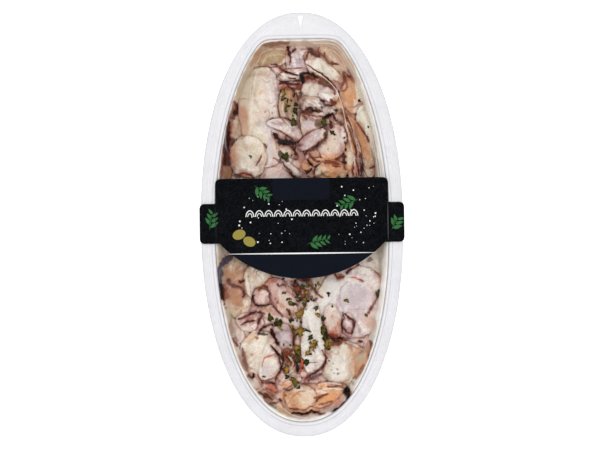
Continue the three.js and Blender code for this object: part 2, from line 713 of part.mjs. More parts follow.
function makePack() {
  const pack = new THREE.Group();
  floodPile();
  const slices = SLICES.map((spec, seed) => makeSlice(spec, seed));
  const flakes = makeFlakes();
  pack.add(makeMesh('tray', makeTray(), COLOURS.tray, { roughness: 0.35 }));
  pack.add(makeMesh('marinade', makePool(), COLOURS.pool, { roughness: 0.15 }));
  SLICES.forEach((spec, i) => {
    const body = join(slices[i], flakes[i]);
    pack.add(makeMesh(`slice_${spec.name}`, body, COLOURS[spec.colour], { roughness: 0.3 }));
  });
  const clear = { roughness: 0.05, transparent: true, opacity: 0.15 };
  pack.add(makeMesh('top_film', makeFilm(), COLOURS.film, clear));
  pack.add(makeMesh('label', makeLabel(), COLOURS.label, { roughness: 0.5 }));
  return pack;
}

export default makePack();
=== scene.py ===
"""Looks of a sealed oval pack of thinly sliced cooked octopus.

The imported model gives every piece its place. Each slice is made again over its own solid, with a
rounded cut edge, folds and skin, and then settles onto what lies under it. The parsley, the
tray, the film, the label and its print follow. Sizes are in millimetres until a mesh is written.
"""

import logging
import math
from dataclasses import dataclass, field
from enum import Enum

import bmesh
import bpy
import numpy as np
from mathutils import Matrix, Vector

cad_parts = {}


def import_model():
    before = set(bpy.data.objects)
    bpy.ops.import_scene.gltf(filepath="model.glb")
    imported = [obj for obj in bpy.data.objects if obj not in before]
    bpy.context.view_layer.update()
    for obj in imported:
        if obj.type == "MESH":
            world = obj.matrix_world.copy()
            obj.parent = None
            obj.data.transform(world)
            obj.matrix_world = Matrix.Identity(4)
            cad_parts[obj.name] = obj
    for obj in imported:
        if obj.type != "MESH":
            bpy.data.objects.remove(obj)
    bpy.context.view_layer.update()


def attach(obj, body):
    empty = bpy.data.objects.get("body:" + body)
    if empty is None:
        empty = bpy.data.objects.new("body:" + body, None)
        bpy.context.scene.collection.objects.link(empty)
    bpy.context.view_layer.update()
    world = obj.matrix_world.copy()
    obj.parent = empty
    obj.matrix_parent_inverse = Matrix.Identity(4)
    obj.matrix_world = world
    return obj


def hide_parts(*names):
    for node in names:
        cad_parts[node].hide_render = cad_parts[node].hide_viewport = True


LOG = logging.getLogger("octopus_pack")
MM = 0.001
TURN = 2 * math.pi

Array = np.ndarray
Point = tuple[float, float]
Colour = tuple[float, float, float]
Piece = bpy.types.Object
Socket = bpy.types.NodeSocket


# ---- colours


class Tone(Enum):
    """Colours that flesh, skin, herbs and print are painted with, as sRGB from 0 to 255."""

    GLARE = (250, 248, 244)
    FROST = (228, 225, 220)
    WHITE = (232, 226, 215)
    ROSE_WHITE = (224, 203, 194)
    CREAM = (221, 209, 187)
    PALE_GREEN = (221, 218, 200)
    BEIGE = (192, 163, 134)
    TAN = (182, 132, 96)
    ORANGE = (220, 160, 110)
    OLIVE_TAN = (170, 145, 104)
    LILAC = (209, 197, 200)
    GREY_LILAC = (168, 152, 157)
    BLUE_GREY = (128, 128, 140)
    PINK = (209, 170, 157)
    MAUVE = (158, 104, 96)
    RUST = (150, 88, 60)
    SALMON = (198, 110, 86)
    PLUM = (102, 64, 70)
    STONE = (196, 180, 158)
    SLATE = (68, 68, 84)
    SKIN = (98, 54, 42)
    PURPLE = (72, 32, 32)
    RED_BROWN = (124, 56, 34)
    BROWN = (110, 62, 36)
    DARK = (32, 15, 12)
    BLACK = (10, 6, 7)
    HERB = (70, 66, 22)
    HERB_DARK = (46, 44, 18)
    HERB_OLIVE = (96, 86, 30)
    HERB_GOLD = (138, 104, 42)
    CHILLI = (196, 68, 36)

    def linear(self) -> Array:
        """The colour as linear red, green and blue from 0 to 1."""
        return to_linear(self.value)


def to_linear(srgb: Array | Colour) -> Array:
    """Linear colour of sRGB values from 0 to 255, by the sRGB transfer curve.

    Args:
        srgb: Values from 0 to 255.

    Returns:
        Values from 0 to 1, of the same shape.
    """
    share = np.asarray(srgb, float) / 255
    return np.where(share <= 0.04045, share / 12.92, ((share + 0.055) / 1.055) ** 2.4)


def mixed(first: Array, second: Array, share: Array) -> Array:
    """Colours on the way from a first to a second, by a share for each point."""
    part = share[..., None]
    return first * (1 - part) + second * part


def read_rows(text: str) -> list[list[list[str]]]:
    """Rows of a table: commas part its groups, spaces part their values, and # starts a heading."""
    rows = [row for row in text.split("\n") if row.strip() and not row.startswith("#")]
    return [[group.split() for group in row.split(",")] for row in rows]


# ---- numbers on grids


def draw(item: int, k: int) -> float:
    """Repeatable number from 0 to 1 for an item and one of its draws, as in the solids."""
    wave = math.sin(item * 12.9898 + k * 78.233) * 43758.5453
    return wave - math.floor(wave)


def smooth(low: float, high: float, value: Array) -> Array:
    """Smooth step from 0 at low to 1 at high: s squared times (3 - 2 s)."""
    share = np.clip((value - low) / (high - low), 0, 1)
    return share * share * (3 - 2 * share)


def lattice(column: Array, row: Array, seed: int) -> Array:
    """Repeatable number from -1 to 1 for each lattice point, by integer hashing."""
    hashed = column * 374761393 + row * 668265263 + seed * 974634777
    hashed = (hashed ^ (hashed >> 13)) * 1274126177 & 0x7FFFFFFF
    hashed = (hashed ^ (hashed >> 15)) * 2246822519 & 0x7FFFFFFF
    return (hashed ^ (hashed >> 16)) / 0x3FFFFFFF - 1


def noise(x: Array, y: Array, cell: float, seed: int) -> Array:
    """Smooth noise from -1 to 1: lattice numbers a cell apart, blended by smooth steps.

    Args:
        x: Across the tray.
        y: Along the tray.
        cell: Distance of the lattice points.
        seed: Sets one noise apart from another.

    Returns:
        The noise at each point.
    """
    column, row = np.floor(x / cell), np.floor(y / cell)
    u, v = smooth(0, 1, x / cell - column), smooth(0, 1, y / cell - row)
    column, row = column.astype(np.int64), row.astype(np.int64)
    low = lattice(column, row, seed) * (1 - u) + lattice(column + 1, row, seed) * u
    high = lattice(column, row + 1, seed) * (1 - u) + lattice(column + 1, row + 1, seed) * u
    return low * (1 - v) + high * v


def fractal(x: Array, y: Array, cell: float, seed: int, octaves: int = 3) -> Array:
    """Sum of noises, each at half the cell and half the strength of the one before."""
    parts = [noise(x, y, cell / 2**k, seed + 7 * k) / 2**k for k in range(octaves)]
    return sum(parts)


def curve_through(points: Array, steps: int) -> Array:
    """Catmull-Rom curve through a few points, with its ends repeated.

    Args:
        points: Two or more plan points, as rows.
        steps: Number of points on the curve.

    Returns:
        The curve's points, as rows.
    """
    padded = np.vstack([points[:1], points, points[-1:]])
    place = np.linspace(0, len(points) - 1 - 1e-9, steps)
    return catmull(padded, place.astype(int), place % 1)


def catmull(points: Array, first: Array, share: Array) -> Array:
    """Catmull-Rom blend of four points in a row, from index first, at share past the second.

    Args:
        points: Points, as rows.
        first: Index of the first of the four.
        share: Place between the second and the third.

    Returns:
        The blended points, as rows.
    """
    a, b, c, d = (points[(first + k) % len(points)] for k in range(4))
    s = share[:, None]
    cubic = (-a + 3 * b - 3 * c + d) * s**3 + (2 * a - 5 * b + 4 * c - d) * s**2
    return 0.5 * (cubic + (c - a) * s + 2 * b)


def round_trip(ring: Array, steps: int) -> Array:
    """Closed Catmull-Rom curve of so many steps through a ring of corners."""
    place = np.arange(steps) * len(ring) / steps
    first = place.astype(int)
    return catmull(ring, first - 1, place - first)


# ---- meshes


def in_scene(name: str, data: bpy.types.ID) -> Piece:
    """Makes an object that shows its data, and links it to the scene."""
    made = bpy.data.objects.new(name, data)
    bpy.context.scene.collection.objects.link(made)
    return made


def corners_in(piece: Piece) -> Array:
    """A piece's corners in millimetres, as rows."""
    flat = np.empty(len(piece.data.vertices) * 3, np.float32)
    piece.data.vertices.foreach_get("co", flat)
    return flat.reshape(-1, 3) / MM


def new_object(name: str, points: Array, quads: Array, triangles: Array) -> Piece:
    """Makes a smooth mesh object at the origin, with its place in its mesh.

    Args:
        name: Name of the object.
        points: Corners in millimetres, as rows.
        quads: Four corner indexes a row.
        triangles: Three corner indexes a row.

    Returns:
        The new object, linked to the scene.
    """
    mesh = bpy.data.meshes.new(name)
    mesh.vertices.add(len(points))
    mesh.vertices.foreach_set("co", (points * MM).astype(np.float32).ravel())
    loops = np.concatenate([quads.ravel(), triangles.ravel()]).astype(np.int32)
    mesh.loops.add(len(loops))
    mesh.loops.foreach_set("vertex_index", loops)
    starts = np.concatenate(
        [np.arange(len(quads)) * 4, len(quads) * 4 + np.arange(len(triangles)) * 3]
    )
    mesh.polygons.add(len(starts))
    mesh.polygons.foreach_set("loop_start", starts.astype(np.int32))
    mesh.polygons.foreach_set("use_smooth", np.full(len(starts), True))
    mesh.update(calc_edges=True)
    mesh.validate()
    return in_scene(name, mesh)


def loft_faces(rows: int, steps: int) -> tuple[Array, Array]:
    """Faces of a closed solid of rings that run from its underside round to its top.

    Args:
        rows: Number of rings.
        steps: Corners in each ring; the lower pole's index follows them, then the upper one's.

    Returns:
        Quads between the rings, and triangles round the two poles.
    """
    i = np.arange(steps)
    following = (i + 1) % steps
    low = (np.arange(rows - 1) * steps)[:, None]
    quads = np.stack([low + i, low + following, low + steps + following, low + steps + i], -1)
    last = (rows - 1) * steps
    pole = rows * steps
    under = np.stack([np.full(steps, pole), following, i], -1)
    over = np.stack([last + i, last + following, np.full(steps, pole + 1)], -1)
    return quads.reshape(-1, 4), np.vstack([under, over])


def loft(name: str, rings: Array, under: Array, over: Array) -> Piece:
    """Closed solid through an array of rings, with a pole under and a pole over them."""
    rows, steps, _ = rings.shape
    points = np.vstack([rings.reshape(-1, 3), under, over])
    return new_object(name, points, *loft_faces(rows, steps))


def round_corners(rings: Array, radius: float, parts: int = 4) -> Array:
    """Rounds the profile of a loft: each corner becomes a quadratic curve.

    Args:
        rings: Rings, steps and coordinates, in the profile's order.
        radius: How far before and after a corner its curve begins, at most half a side.
        parts: Points on each curve.

    Returns:
        The rings of the rounded profile, with the first and the last one unchanged.
    """
    before, corner, after = rings[:-2], rings[1:-1], rings[2:]

    def toward(other: Array) -> Array:
        """Point on the way from a corner to a neighbour where its curve begins."""
        way = other - corner
        length = np.linalg.norm(way, axis=-1, keepdims=True)
        return corner + way * np.minimum(radius / np.maximum(length, 1e-9), 0.5)

    start, end = toward(before), toward(after)
    share = np.linspace(0, 1, parts)[None, :, None, None]
    curves = (
        start[:, None] * (1 - share) ** 2
        + corner[:, None] * 2 * share * (1 - share)
        + end[:, None] * share**2
    )
    return np.concatenate([rings[:1], curves.reshape(-1, *rings.shape[1:]), rings[-1:]])


def prisms(name: str, outlines: list[Array], low: float, high: float) -> Piece:
    """One mesh of many upright solids between two heights.

    Args:
        name: Name of the object.
        outlines: Closed counterclockwise outlines, with plan points as rows.
        low: Height of the undersides.
        high: Height of the tops.

    Returns:
        The new object.
    """
    mesh = bpy.data.meshes.new(name)
    points: list[Array] = []
    faces: list[list[int]] = []
    count = 0
    for outline in outlines:
        n = len(outline)
        points.append(np.column_stack([outline, np.full(n, low)]))
        points.append(np.column_stack([outline, np.full(n, high)]))
        faces.append(list(range(count + n - 1, count - 1, -1)))
        faces.append(list(range(count + n, count + 2 * n)))
        for i in range(n):
            j = (i + 1) % n
            faces.append([count + i, count + j, count + n + j, count + n + i])
        count += 2 * n
    mesh.from_pydata((np.vstack(points) * MM).tolist(), [], faces)
    mesh.update()
    return in_scene(name, mesh)


def curve_and_side(points: list[Point], steps: int) -> tuple[Array, Array]:
    """Curve through a few plan points, and at each step the unit vector to its left."""
    line = curve_through(np.array(points, float), steps)
    along = np.gradient(line, axis=0)
    along /= np.linalg.norm(along, axis=1, keepdims=True)
    return line, np.column_stack([-along[:, 1], along[:, 0]])


def ribbon(points: list[Point], width: float, steps: int = 24, pointed: bool = True) -> Array:
    """Outline of a ribbon along a curve: the curve shifted both ways by half its width.

    Args:
        points: A few plan points that the curve goes through.
        width: Width in the middle.
        steps: Points along the curve.
        pointed: Whether the ribbon narrows to its ends, by a half sine.

    Returns:
        The closed counterclockwise outline.
    """
    line, side = curve_and_side(points, steps)
    share = np.linspace(0, 1, steps)
    half = width / 2 * (0.15 + 0.85 * np.sin(share * math.pi) if pointed else np.ones(steps))
    side = side * half[:, None]
    return np.vstack([line - side, (line + side)[::-1]])


def set_colours(piece: Piece, colours: Array) -> None:
    """Writes one linear colour for each corner into the piece's Tone attribute."""
    attribute = piece.data.attributes.new("Tone", "FLOAT_COLOR", "POINT")
    full = np.column_stack([colours, np.ones(len(colours))])
    attribute.data.foreach_set("color", full.astype(np.float32).ravel())


def dress(piece: Piece, material: bpy.types.Material) -> None:
    """Gives a piece its one material."""
    piece.data.materials.clear()
    piece.data.materials.append(material)


def hand_in(
    piece: Piece, material: bpy.types.Material, slot: str, nodes: tuple[str, ...] = ()
) -> None:
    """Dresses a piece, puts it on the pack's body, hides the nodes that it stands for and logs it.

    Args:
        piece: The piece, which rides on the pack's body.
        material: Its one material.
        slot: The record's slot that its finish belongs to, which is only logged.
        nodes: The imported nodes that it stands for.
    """
    dress(piece, material)
    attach(piece, "root")
    if nodes:
        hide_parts(*nodes)
    LOG.info("%s: %d faces, slot %s", piece.name, len(piece.data.polygons), slot)


# ---- finishes


class Shader:
    """A material's node tree, with a Principled shader at its end."""

    middle_of_noise: Point = (0.3, 0.7)

    def __init__(self, name: str) -> None:
        """Makes the material.

        Args:
            name: The material's name.
        """
        self.material = bpy.data.materials.new(name)
        self.material.use_nodes = True
        self.tree = self.material.node_tree
        self.surface = self.tree.nodes["Principled BSDF"]
        self.place = self.add("TexCoord").outputs["Object"]

    def add(self, kind: str, **values: object) -> bpy.types.Node:
        """Adds a node of a kind and sets its sockets."""
        node = self.tree.nodes.new("ShaderNode" + kind)
        self.set(node, **values)
        return node

    def set(self, node: bpy.types.Node | None = None, **values: object) -> None:
        """Sets or links sockets by name, with an underscore for a space.

        Args:
            node: The sockets' node, or None for the Principled shader.
            values: A value for each socket, or the socket that it is linked from.
        """
        for key, value in values.items():
            socket = (node or self.surface).inputs[key.replace("_", " ")]
            if isinstance(value, Socket):
                self.tree.links.new(value, socket)
            else:
                socket.default_value = value

    def noise(self, size: float, detail: float = 3) -> Socket:
        """Noise texture in place, with features of a size in millimetres, and finer layers."""
        values = {"Vector": self.place, "Scale": 1 / (size * MM), "Detail": detail}
        return self.add("TexNoise", **values).outputs["Fac"]

    def clouds(self, size: float, detail: float, ends: Point, low: Array, high: Array) -> Socket:
        """Noise that runs between two colours.

        Args:
            size: Size of its features in millimetres.
            detail: Number of finer layers.
            ends: Where in the noise's range the two colours lie.
            low: The first colour.
            high: The second colour.

        Returns:
            The socket with the colour.
        """
        node = self.add("ValToRGB", Fac=self.noise(size, detail))
        for stop, place, colour in zip(node.color_ramp.elements, ends, (low, high)):
            stop.position = place
            stop.color = (*colour, 1)
        return node.outputs["Color"]

    def uneven(self, size: float, detail: float, low: float, high: float) -> Socket:
        """Noise whose middle is spread over low to high."""
        start, end = self.middle_of_noise
        node = self.add("MapRange", From_Min=start, From_Max=end, To_Min=low, To_Max=high)
        self.set(node, Value=self.noise(size, detail))
        return node.outputs["Result"]

    def painted(self, clouds: Socket) -> Socket:
        """The colour painted on the piece's corners, times clouds."""
        tone = self.add("Attribute")
        tone.attribute_name = "Tone"
        return self.multiply(tone.outputs["Color"], clouds)

    def multiply(self, first: Socket, second: Socket) -> Socket:
        """Product of two colours.

        Args:
            first: Socket of a colour.
            second: Socket of another.

        Returns:
            The socket with the product.
        """
        node = self.add("Mix")
        node.data_type = "RGBA"
        node.blend_type = "MULTIPLY"
        self.set(node, Factor=1, A=first, B=second)
        return node.outputs["Result"]

    def bump(self, *layers: tuple[float, float, float]) -> None:
        """Adds bump from noises of a size, a detail and a depth in millimetres, one on another."""
        below = {}
        for size, detail, depth in layers:
            height = self.noise(size, detail)
            node = self.add("Bump", Distance=depth * MM, Height=height, **below)
            below = {"Normal": node.outputs["Normal"]}
        self.set(**below)


@dataclass(frozen=True)
class FleshFinish:
    """Wet cut flesh and skin: painted colour, fine mottling, fine bumps, a gloss of oil."""

    name: str
    rough: Point = (0.3, 0.5)
    mottling: float = 0.1
    glow: float = 0.4
    oil: float = 0.04
    depth: float = 0.16

    def make(self) -> bpy.types.Material:
        """Builds the material."""
        shader = Shader(self.name)
        dark = (1 - self.mottling * 0.9, 1 - self.mottling * 1.2, 1 - self.mottling * 1.2)
        light = (1 + self.mottling * 0.4,) * 3
        shader.bump((2.6, 3, self.depth), (0.7, 2, self.depth / 4))
        shader.set(
            Base_Color=shader.painted(shader.clouds(1.1, 4, (0.36, 0.62), dark, light)),
            Roughness=shader.uneven(2.2, 2, *self.rough),
            Subsurface_Weight=self.glow,
            Subsurface_Radius=(1.0, 0.6, 0.45),
            Subsurface_Scale=1.3 * MM,
            Coat_Weight=self.oil,
            Coat_Roughness=0.12,
            Specular_IOR_Level=0.1,
        )
        return shader.material


@dataclass(frozen=True)
class PlasticFinish:
    """Satin white thermoformed sheet, with the faint unevenness of drawing."""

    name: str = "tray_plastic"
    colour: Colour = (212, 212, 216)

    def make(self) -> bpy.types.Material:
        """Builds the material."""
        shader = Shader(self.name)
        base = to_linear(self.colour)
        shader.bump((6, 2, 0.05))
        shader.set(
            Base_Color=shader.painted(shader.clouds(14, 2, (0.35, 0.65), base * 0.975, base * 1.02)),
            Roughness=shader.uneven(5, 3, 0.24, 0.34),
            Subsurface_Weight=0.6,
            Subsurface_Radius=(1.0, 0.95, 0.9),
            Subsurface_Scale=2.5 * MM,
            Specular_IOR_Level=0.4,
        )
        return shader.material


@dataclass(frozen=True)
class FilmFinish:
    """Clear glossy sheet, seen only by its haze and its highlights."""

    name: str
    colour: Colour = (80, 82, 86)
    alpha: float = 0.008
    rough: float = 0.08

    def make(self) -> bpy.types.Material:
        """Builds the material."""
        shader = Shader(self.name)
        shader.set(
            Base_Color=(*to_linear(self.colour), 1),
            Alpha=self.alpha,
            Roughness=self.rough,
            Specular_IOR_Level=0.3,
        )
        return shader.material


@dataclass(frozen=True)
class PaperFinish:
    """Printed satin paper: a dark slate field with fine grain and cloudy patches."""

    name: str
    dark: Colour
    light: Colour
    grain: float = 0.9
    rough: Point = (0.42, 0.6)

    def make(self) -> bpy.types.Material:
        """Builds the material."""
        shader = Shader(self.name)
        dark, light = to_linear(self.dark), to_linear(self.light)
        grain = shader.clouds(self.grain, 5, (0.4, 0.68), dark, light)
        patches = shader.clouds(9, 3, (0.35, 0.7), (0.75,) * 3, (1.25,) * 3)
        shader.bump((0.5, 2, 0.01))
        shader.set(
            Base_Color=shader.multiply(grain, patches),
            Roughness=shader.uneven(3, 2, *self.rough),
            Specular_IOR_Level=0.02,
        )
        return shader.material


@dataclass(frozen=True)
class InkFinish:
    """Painted colour under a satin print varnish, a little uneven."""

    name: str
    rough: Point = (0.4, 0.55)
    uneven: float = 0.12
    size: float = 0.8
    shine: float = 0.04

    def make(self) -> bpy.types.Material:
        """Builds the material."""
        shader = Shader(self.name)
        low, high = (1 - self.uneven,) * 3, (1 + self.uneven,) * 3
        shader.bump((self.size, 3, 0.02))
        shader.set(
            Base_Color=shader.painted(shader.clouds(self.size, 3, (0.35, 0.65), low, high)),
            Roughness=shader.uneven(2, 2, *self.rough),
            Specular_IOR_Level=self.shine,
        )
        return shader.material


@dataclass(frozen=True)
class OilFinish:
    """Cloudy tan marinade with an oily gloss."""

    name: str = "marinade"

    def make(self) -> bpy.types.Material:
        """Builds the material."""
        shader = Shader(self.name)
        low, high = (0.9, 0.88, 0.86), (1.06, 1.05, 1.04)
        shader.bump((6, 2, 0.1))
        shader.set(
            Base_Color=shader.painted(shader.clouds(7, 4, (0.35, 0.65), low, high)),
            Roughness=0.3,
            Specular_IOR_Level=0.15,
            Subsurface_Weight=0.3,
            Subsurface_Scale=0.5 * MM,
        )
        return shader.material


# ---- the pack's outline


@dataclass(frozen=True)
class PackShape:
    """Outlines of the flange and the cavity, by the same rules as the solids."""

    flange_width: float = 64.5
    flange_length: float = 135.0
    squareness: float = 2.15
    cavity_middle: float = -3.5
    cavity_width: float = 55.4
    foot_length: float = 122.3
    head_squareness: float = 2.02
    head_length: float = 134.0
    head_cut: float = 121.7
    corner_sharpness: float = 60.0

    @staticmethod
    def superellipse(angle: Array, half_x: float, half_y: float, power: float) -> Array:
        """Radius at an angle: (|cos/a|^n + |sin/b|^n)^(-1/n)."""
        x = np.abs(np.cos(angle) / half_x) ** power
        y = np.abs(np.sin(angle) / half_y) ** power
        return (x + y) ** (-1 / power)

    def cavity_radius(self, angle: Array, inset: Array | float) -> Array:
        """Radius from the cavity's middle to a line that runs inset inside its rim.

        Args:
            angle: Directions.
            inset: Distance inside the rim.

        Returns:
            The radius: a superellipse below, and above it the smooth least of one and a flat cut.
        """
        sine = np.sin(angle)
        width = self.cavity_width - inset
        below = self.superellipse(angle, width, self.foot_length - inset, self.squareness)
        head_length = self.head_length - inset
        round_part = self.superellipse(angle, width, head_length, self.head_squareness)
        flat = (self.head_cut - inset) / np.maximum(sine, 1e-6)
        power = self.corner_sharpness
        scale = np.minimum(round_part, flat)
        above = scale * ((round_part / scale) ** -power + (flat / scale) ** -power) ** (-1 / power)
        return np.where(sine <= 0, below, above)

    def directions(self, steps: int) -> Array:
        """Directions of a ring's steps, spaced evenly along the long sides."""
        even = TURN * np.arange(steps) / steps
        return np.arctan2(self.flange_length * np.sin(even), self.flange_width * np.cos(even))

    def cavity_ring(self, inset: float, z: float, steps: int) -> Array:
        """Ring that runs inset inside the cavity's rim."""
        angle = self.directions(steps)
        radius = self.cavity_radius(angle, inset)
        y = self.cavity_middle + radius * np.sin(angle)
        return np.column_stack([radius * np.cos(angle), y, np.full(steps, z)])

    def flange_ring(self, inset: float, z: float, steps: int) -> Array:
        """Ring that runs inset inside the flange's outer edge."""
        angle = self.directions(steps)
        width, length = self.flange_width - inset, self.flange_length - inset
        radius = self.superellipse(angle, width, length, self.squareness)
        return np.column_stack([radius * np.cos(angle), radius * np.sin(angle), np.full(steps, z)])

    def depth_inside(self, x: Array, y: Array) -> Array:
        """Rough distance of plan points inside the cavity's rim, measured across it.

        Args:
            x: Across the tray.
            y: Along the tray.

        Returns:
            The distances, below 0 outside.
        """
        dy = y - self.cavity_middle
        radius = np.hypot(x, dy)
        angle = np.arctan2(dy, x)
        room = self.cavity_radius(angle, 0.0)
        across = self.cavity_radius(angle, 1.0)
        return (room - radius) / (room - across)

    def depth_from_edge(self, x: Array, y: Array) -> Array:
        """Rough distance of plan points inside the flange's outer edge, measured across it.

        Args:
            x: Across the tray.
            y: Along the tray.

        Returns:
            The distances, below 0 outside.
        """
        angle = np.arctan2(y, x)
        size = (self.flange_width, self.flange_length, self.squareness)
        room = self.superellipse(angle, *size)
        across = self.superellipse(angle, size[0] - 1, size[1] - 1, size[2])
        return (room - np.hypot(x, y)) / (room - across)


SHAPE = PackShape()


# ---- tray, marinade and film


@dataclass
class Tray:
    """Thermoformed tray: floor, leaning wall, ledge, bead, sealing groove and turned-down lip."""

    height: float = 18.0
    lip_drop: float = 2.6
    lip_width: float = 1.0
    lip_lean: float = 0.3
    groove_inset: float = 3.8
    groove_width: float = 1.5
    groove_depth: float = 0.5
    wall: float = 0.8
    floor: float = 1.0
    ledge_drop: float = 3.6
    ledge_inset: float = 0.3
    ledge_width: float = 0.4
    draft: float = 0.9
    foot_rise: float = 1.2
    foot_width: float = 2.0
    bead_width: float = 1.5
    bead_height: float = 0.2
    chamfer: float = 0.4
    flat_inset: float = 12.0
    steps: int = 360
    corner: float = 0.35
    plain: Colour = (211, 211, 215)

    def profile(self) -> Array:
        """Rings of the tray's section, from the floor's underside round the lip to the floor."""
        cavity, flange = SHAPE.cavity_ring, SHAPE.flange_ring
        ledge = self.ledge_inset + self.ledge_width
        foot = ledge + self.draft
        toe = foot + self.foot_width
        top, wall = self.height, self.wall
        under = top - wall
        lip = top - self.lip_drop
        dip = top - self.groove_depth
        slope = self.groove_width / 3
        end = self.groove_inset + self.groove_width
        ledge_low = top - self.ledge_drop
        bead = -self.chamfer - self.bead_width
        rings = [
            (cavity, toe + self.flat_inset, 0),
            (cavity, toe - wall, 0),
            (cavity, foot - wall, self.foot_rise + self.floor - wall),
            (cavity, ledge - wall, ledge_low - wall),
            (cavity, self.ledge_inset - wall, ledge_low + self.chamfer - wall),
            (cavity, -wall, under),
            (flange, self.lip_width + self.lip_lean, under),
            (flange, self.lip_width, lip),
            (flange, 0, lip),
            (flange, self.lip_lean, top - 0.5),
            (flange, self.lip_lean + 0.6, top),
            (flange, self.lip_lean + 1.5, top),
            (flange, self.groove_inset, top),
            (flange, self.groove_inset + slope, dip),
            (flange, end - slope, dip),
            (flange, end, top),
            (cavity, bead - 0.7, top),
            (cavity, bead, top),
            (cavity, bead + 0.45, top + self.bead_height),
            (cavity, -0.6, top + self.bead_height),
            (cavity, 0, top - self.chamfer),
            (cavity, self.ledge_inset, ledge_low + self.chamfer),
            (cavity, ledge, ledge_low),
            (cavity, foot, self.foot_rise + self.floor),
            (cavity, toe, self.floor),
            (cavity, toe + self.flat_inset, self.floor),
        ]
        return np.stack([ring(inset, z, self.steps) for ring, inset, z in rings])

    def paint(self, points: Array) -> Array:
        """Colour of the plastic: oil and a painted reflection on the wall, painted shade and highlight
        at edge and bead.

        Args:
            points: The corners.

        Returns:
            One linear colour a corner, as a share of the plastic's own.
        """
        x, y, z = points.T
        depth = SHAPE.depth_inside(x, y)
        wall = smooth(0.5, 1.2, depth) * (1 - smooth(11, 14, z)) * smooth(0.9, 1.2, z)
        # Tan low on the wall: its film of oil together with a painted reflection of the food.
        oily = wall * (0.35 + 0.65 * smooth(-40, 60, y)) * (0.85 + 0.15 * fractal(x, y, 9, 5))
        tan = Tone.BEIGE.linear() / to_linear(self.plain)
        # Painted shade: a grey line at the bead's outer foot and a darker outer edge where the lip turns
        # down. Painted highlight: a lighter band from the bead to the rim.
        line = smooth(-2.6, -2.0, depth) * (1 - smooth(-2.0, -1.5, depth)) * smooth(17, 17.9, z)
        edge = 1 - smooth(0.25, 1.3, SHAPE.depth_from_edge(x, y))
        band = smooth(-1.7, -1.4, depth) * (1 - smooth(0.2, 0.5, depth))
        shade = 1 - 0.22 * line - 0.16 * edge + 0.06 * band
        return shade[:, None] * (1 + (tan - 1) * np.clip(oily, 0, 1)[:, None])

    def build(self) -> None:
        """Makes the tray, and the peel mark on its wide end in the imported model's plain plastic."""
        rings = round_corners(self.profile(), self.corner)
        middle = np.array([0, SHAPE.cavity_middle, 0])
        piece = loft("tray_shell", rings, middle, middle + [0, 0, self.floor])
        set_colours(piece, self.paint(corners_in(piece)))
        hand_in(piece, PlasticFinish().make(), "tray_plastic", ("tray",))
        mark = np.array([[0.45, 124.8], [2.3, 132.6], [-1.3, 132.6]])
        wedge = prisms("peel_mark", [mark], self.height - 0.05, self.height + 0.16)
        set_colours(wedge, np.full((6, 3), 1.12))
        hand_in(wedge, bpy.data.materials["tray_plastic"], "tray_plastic")


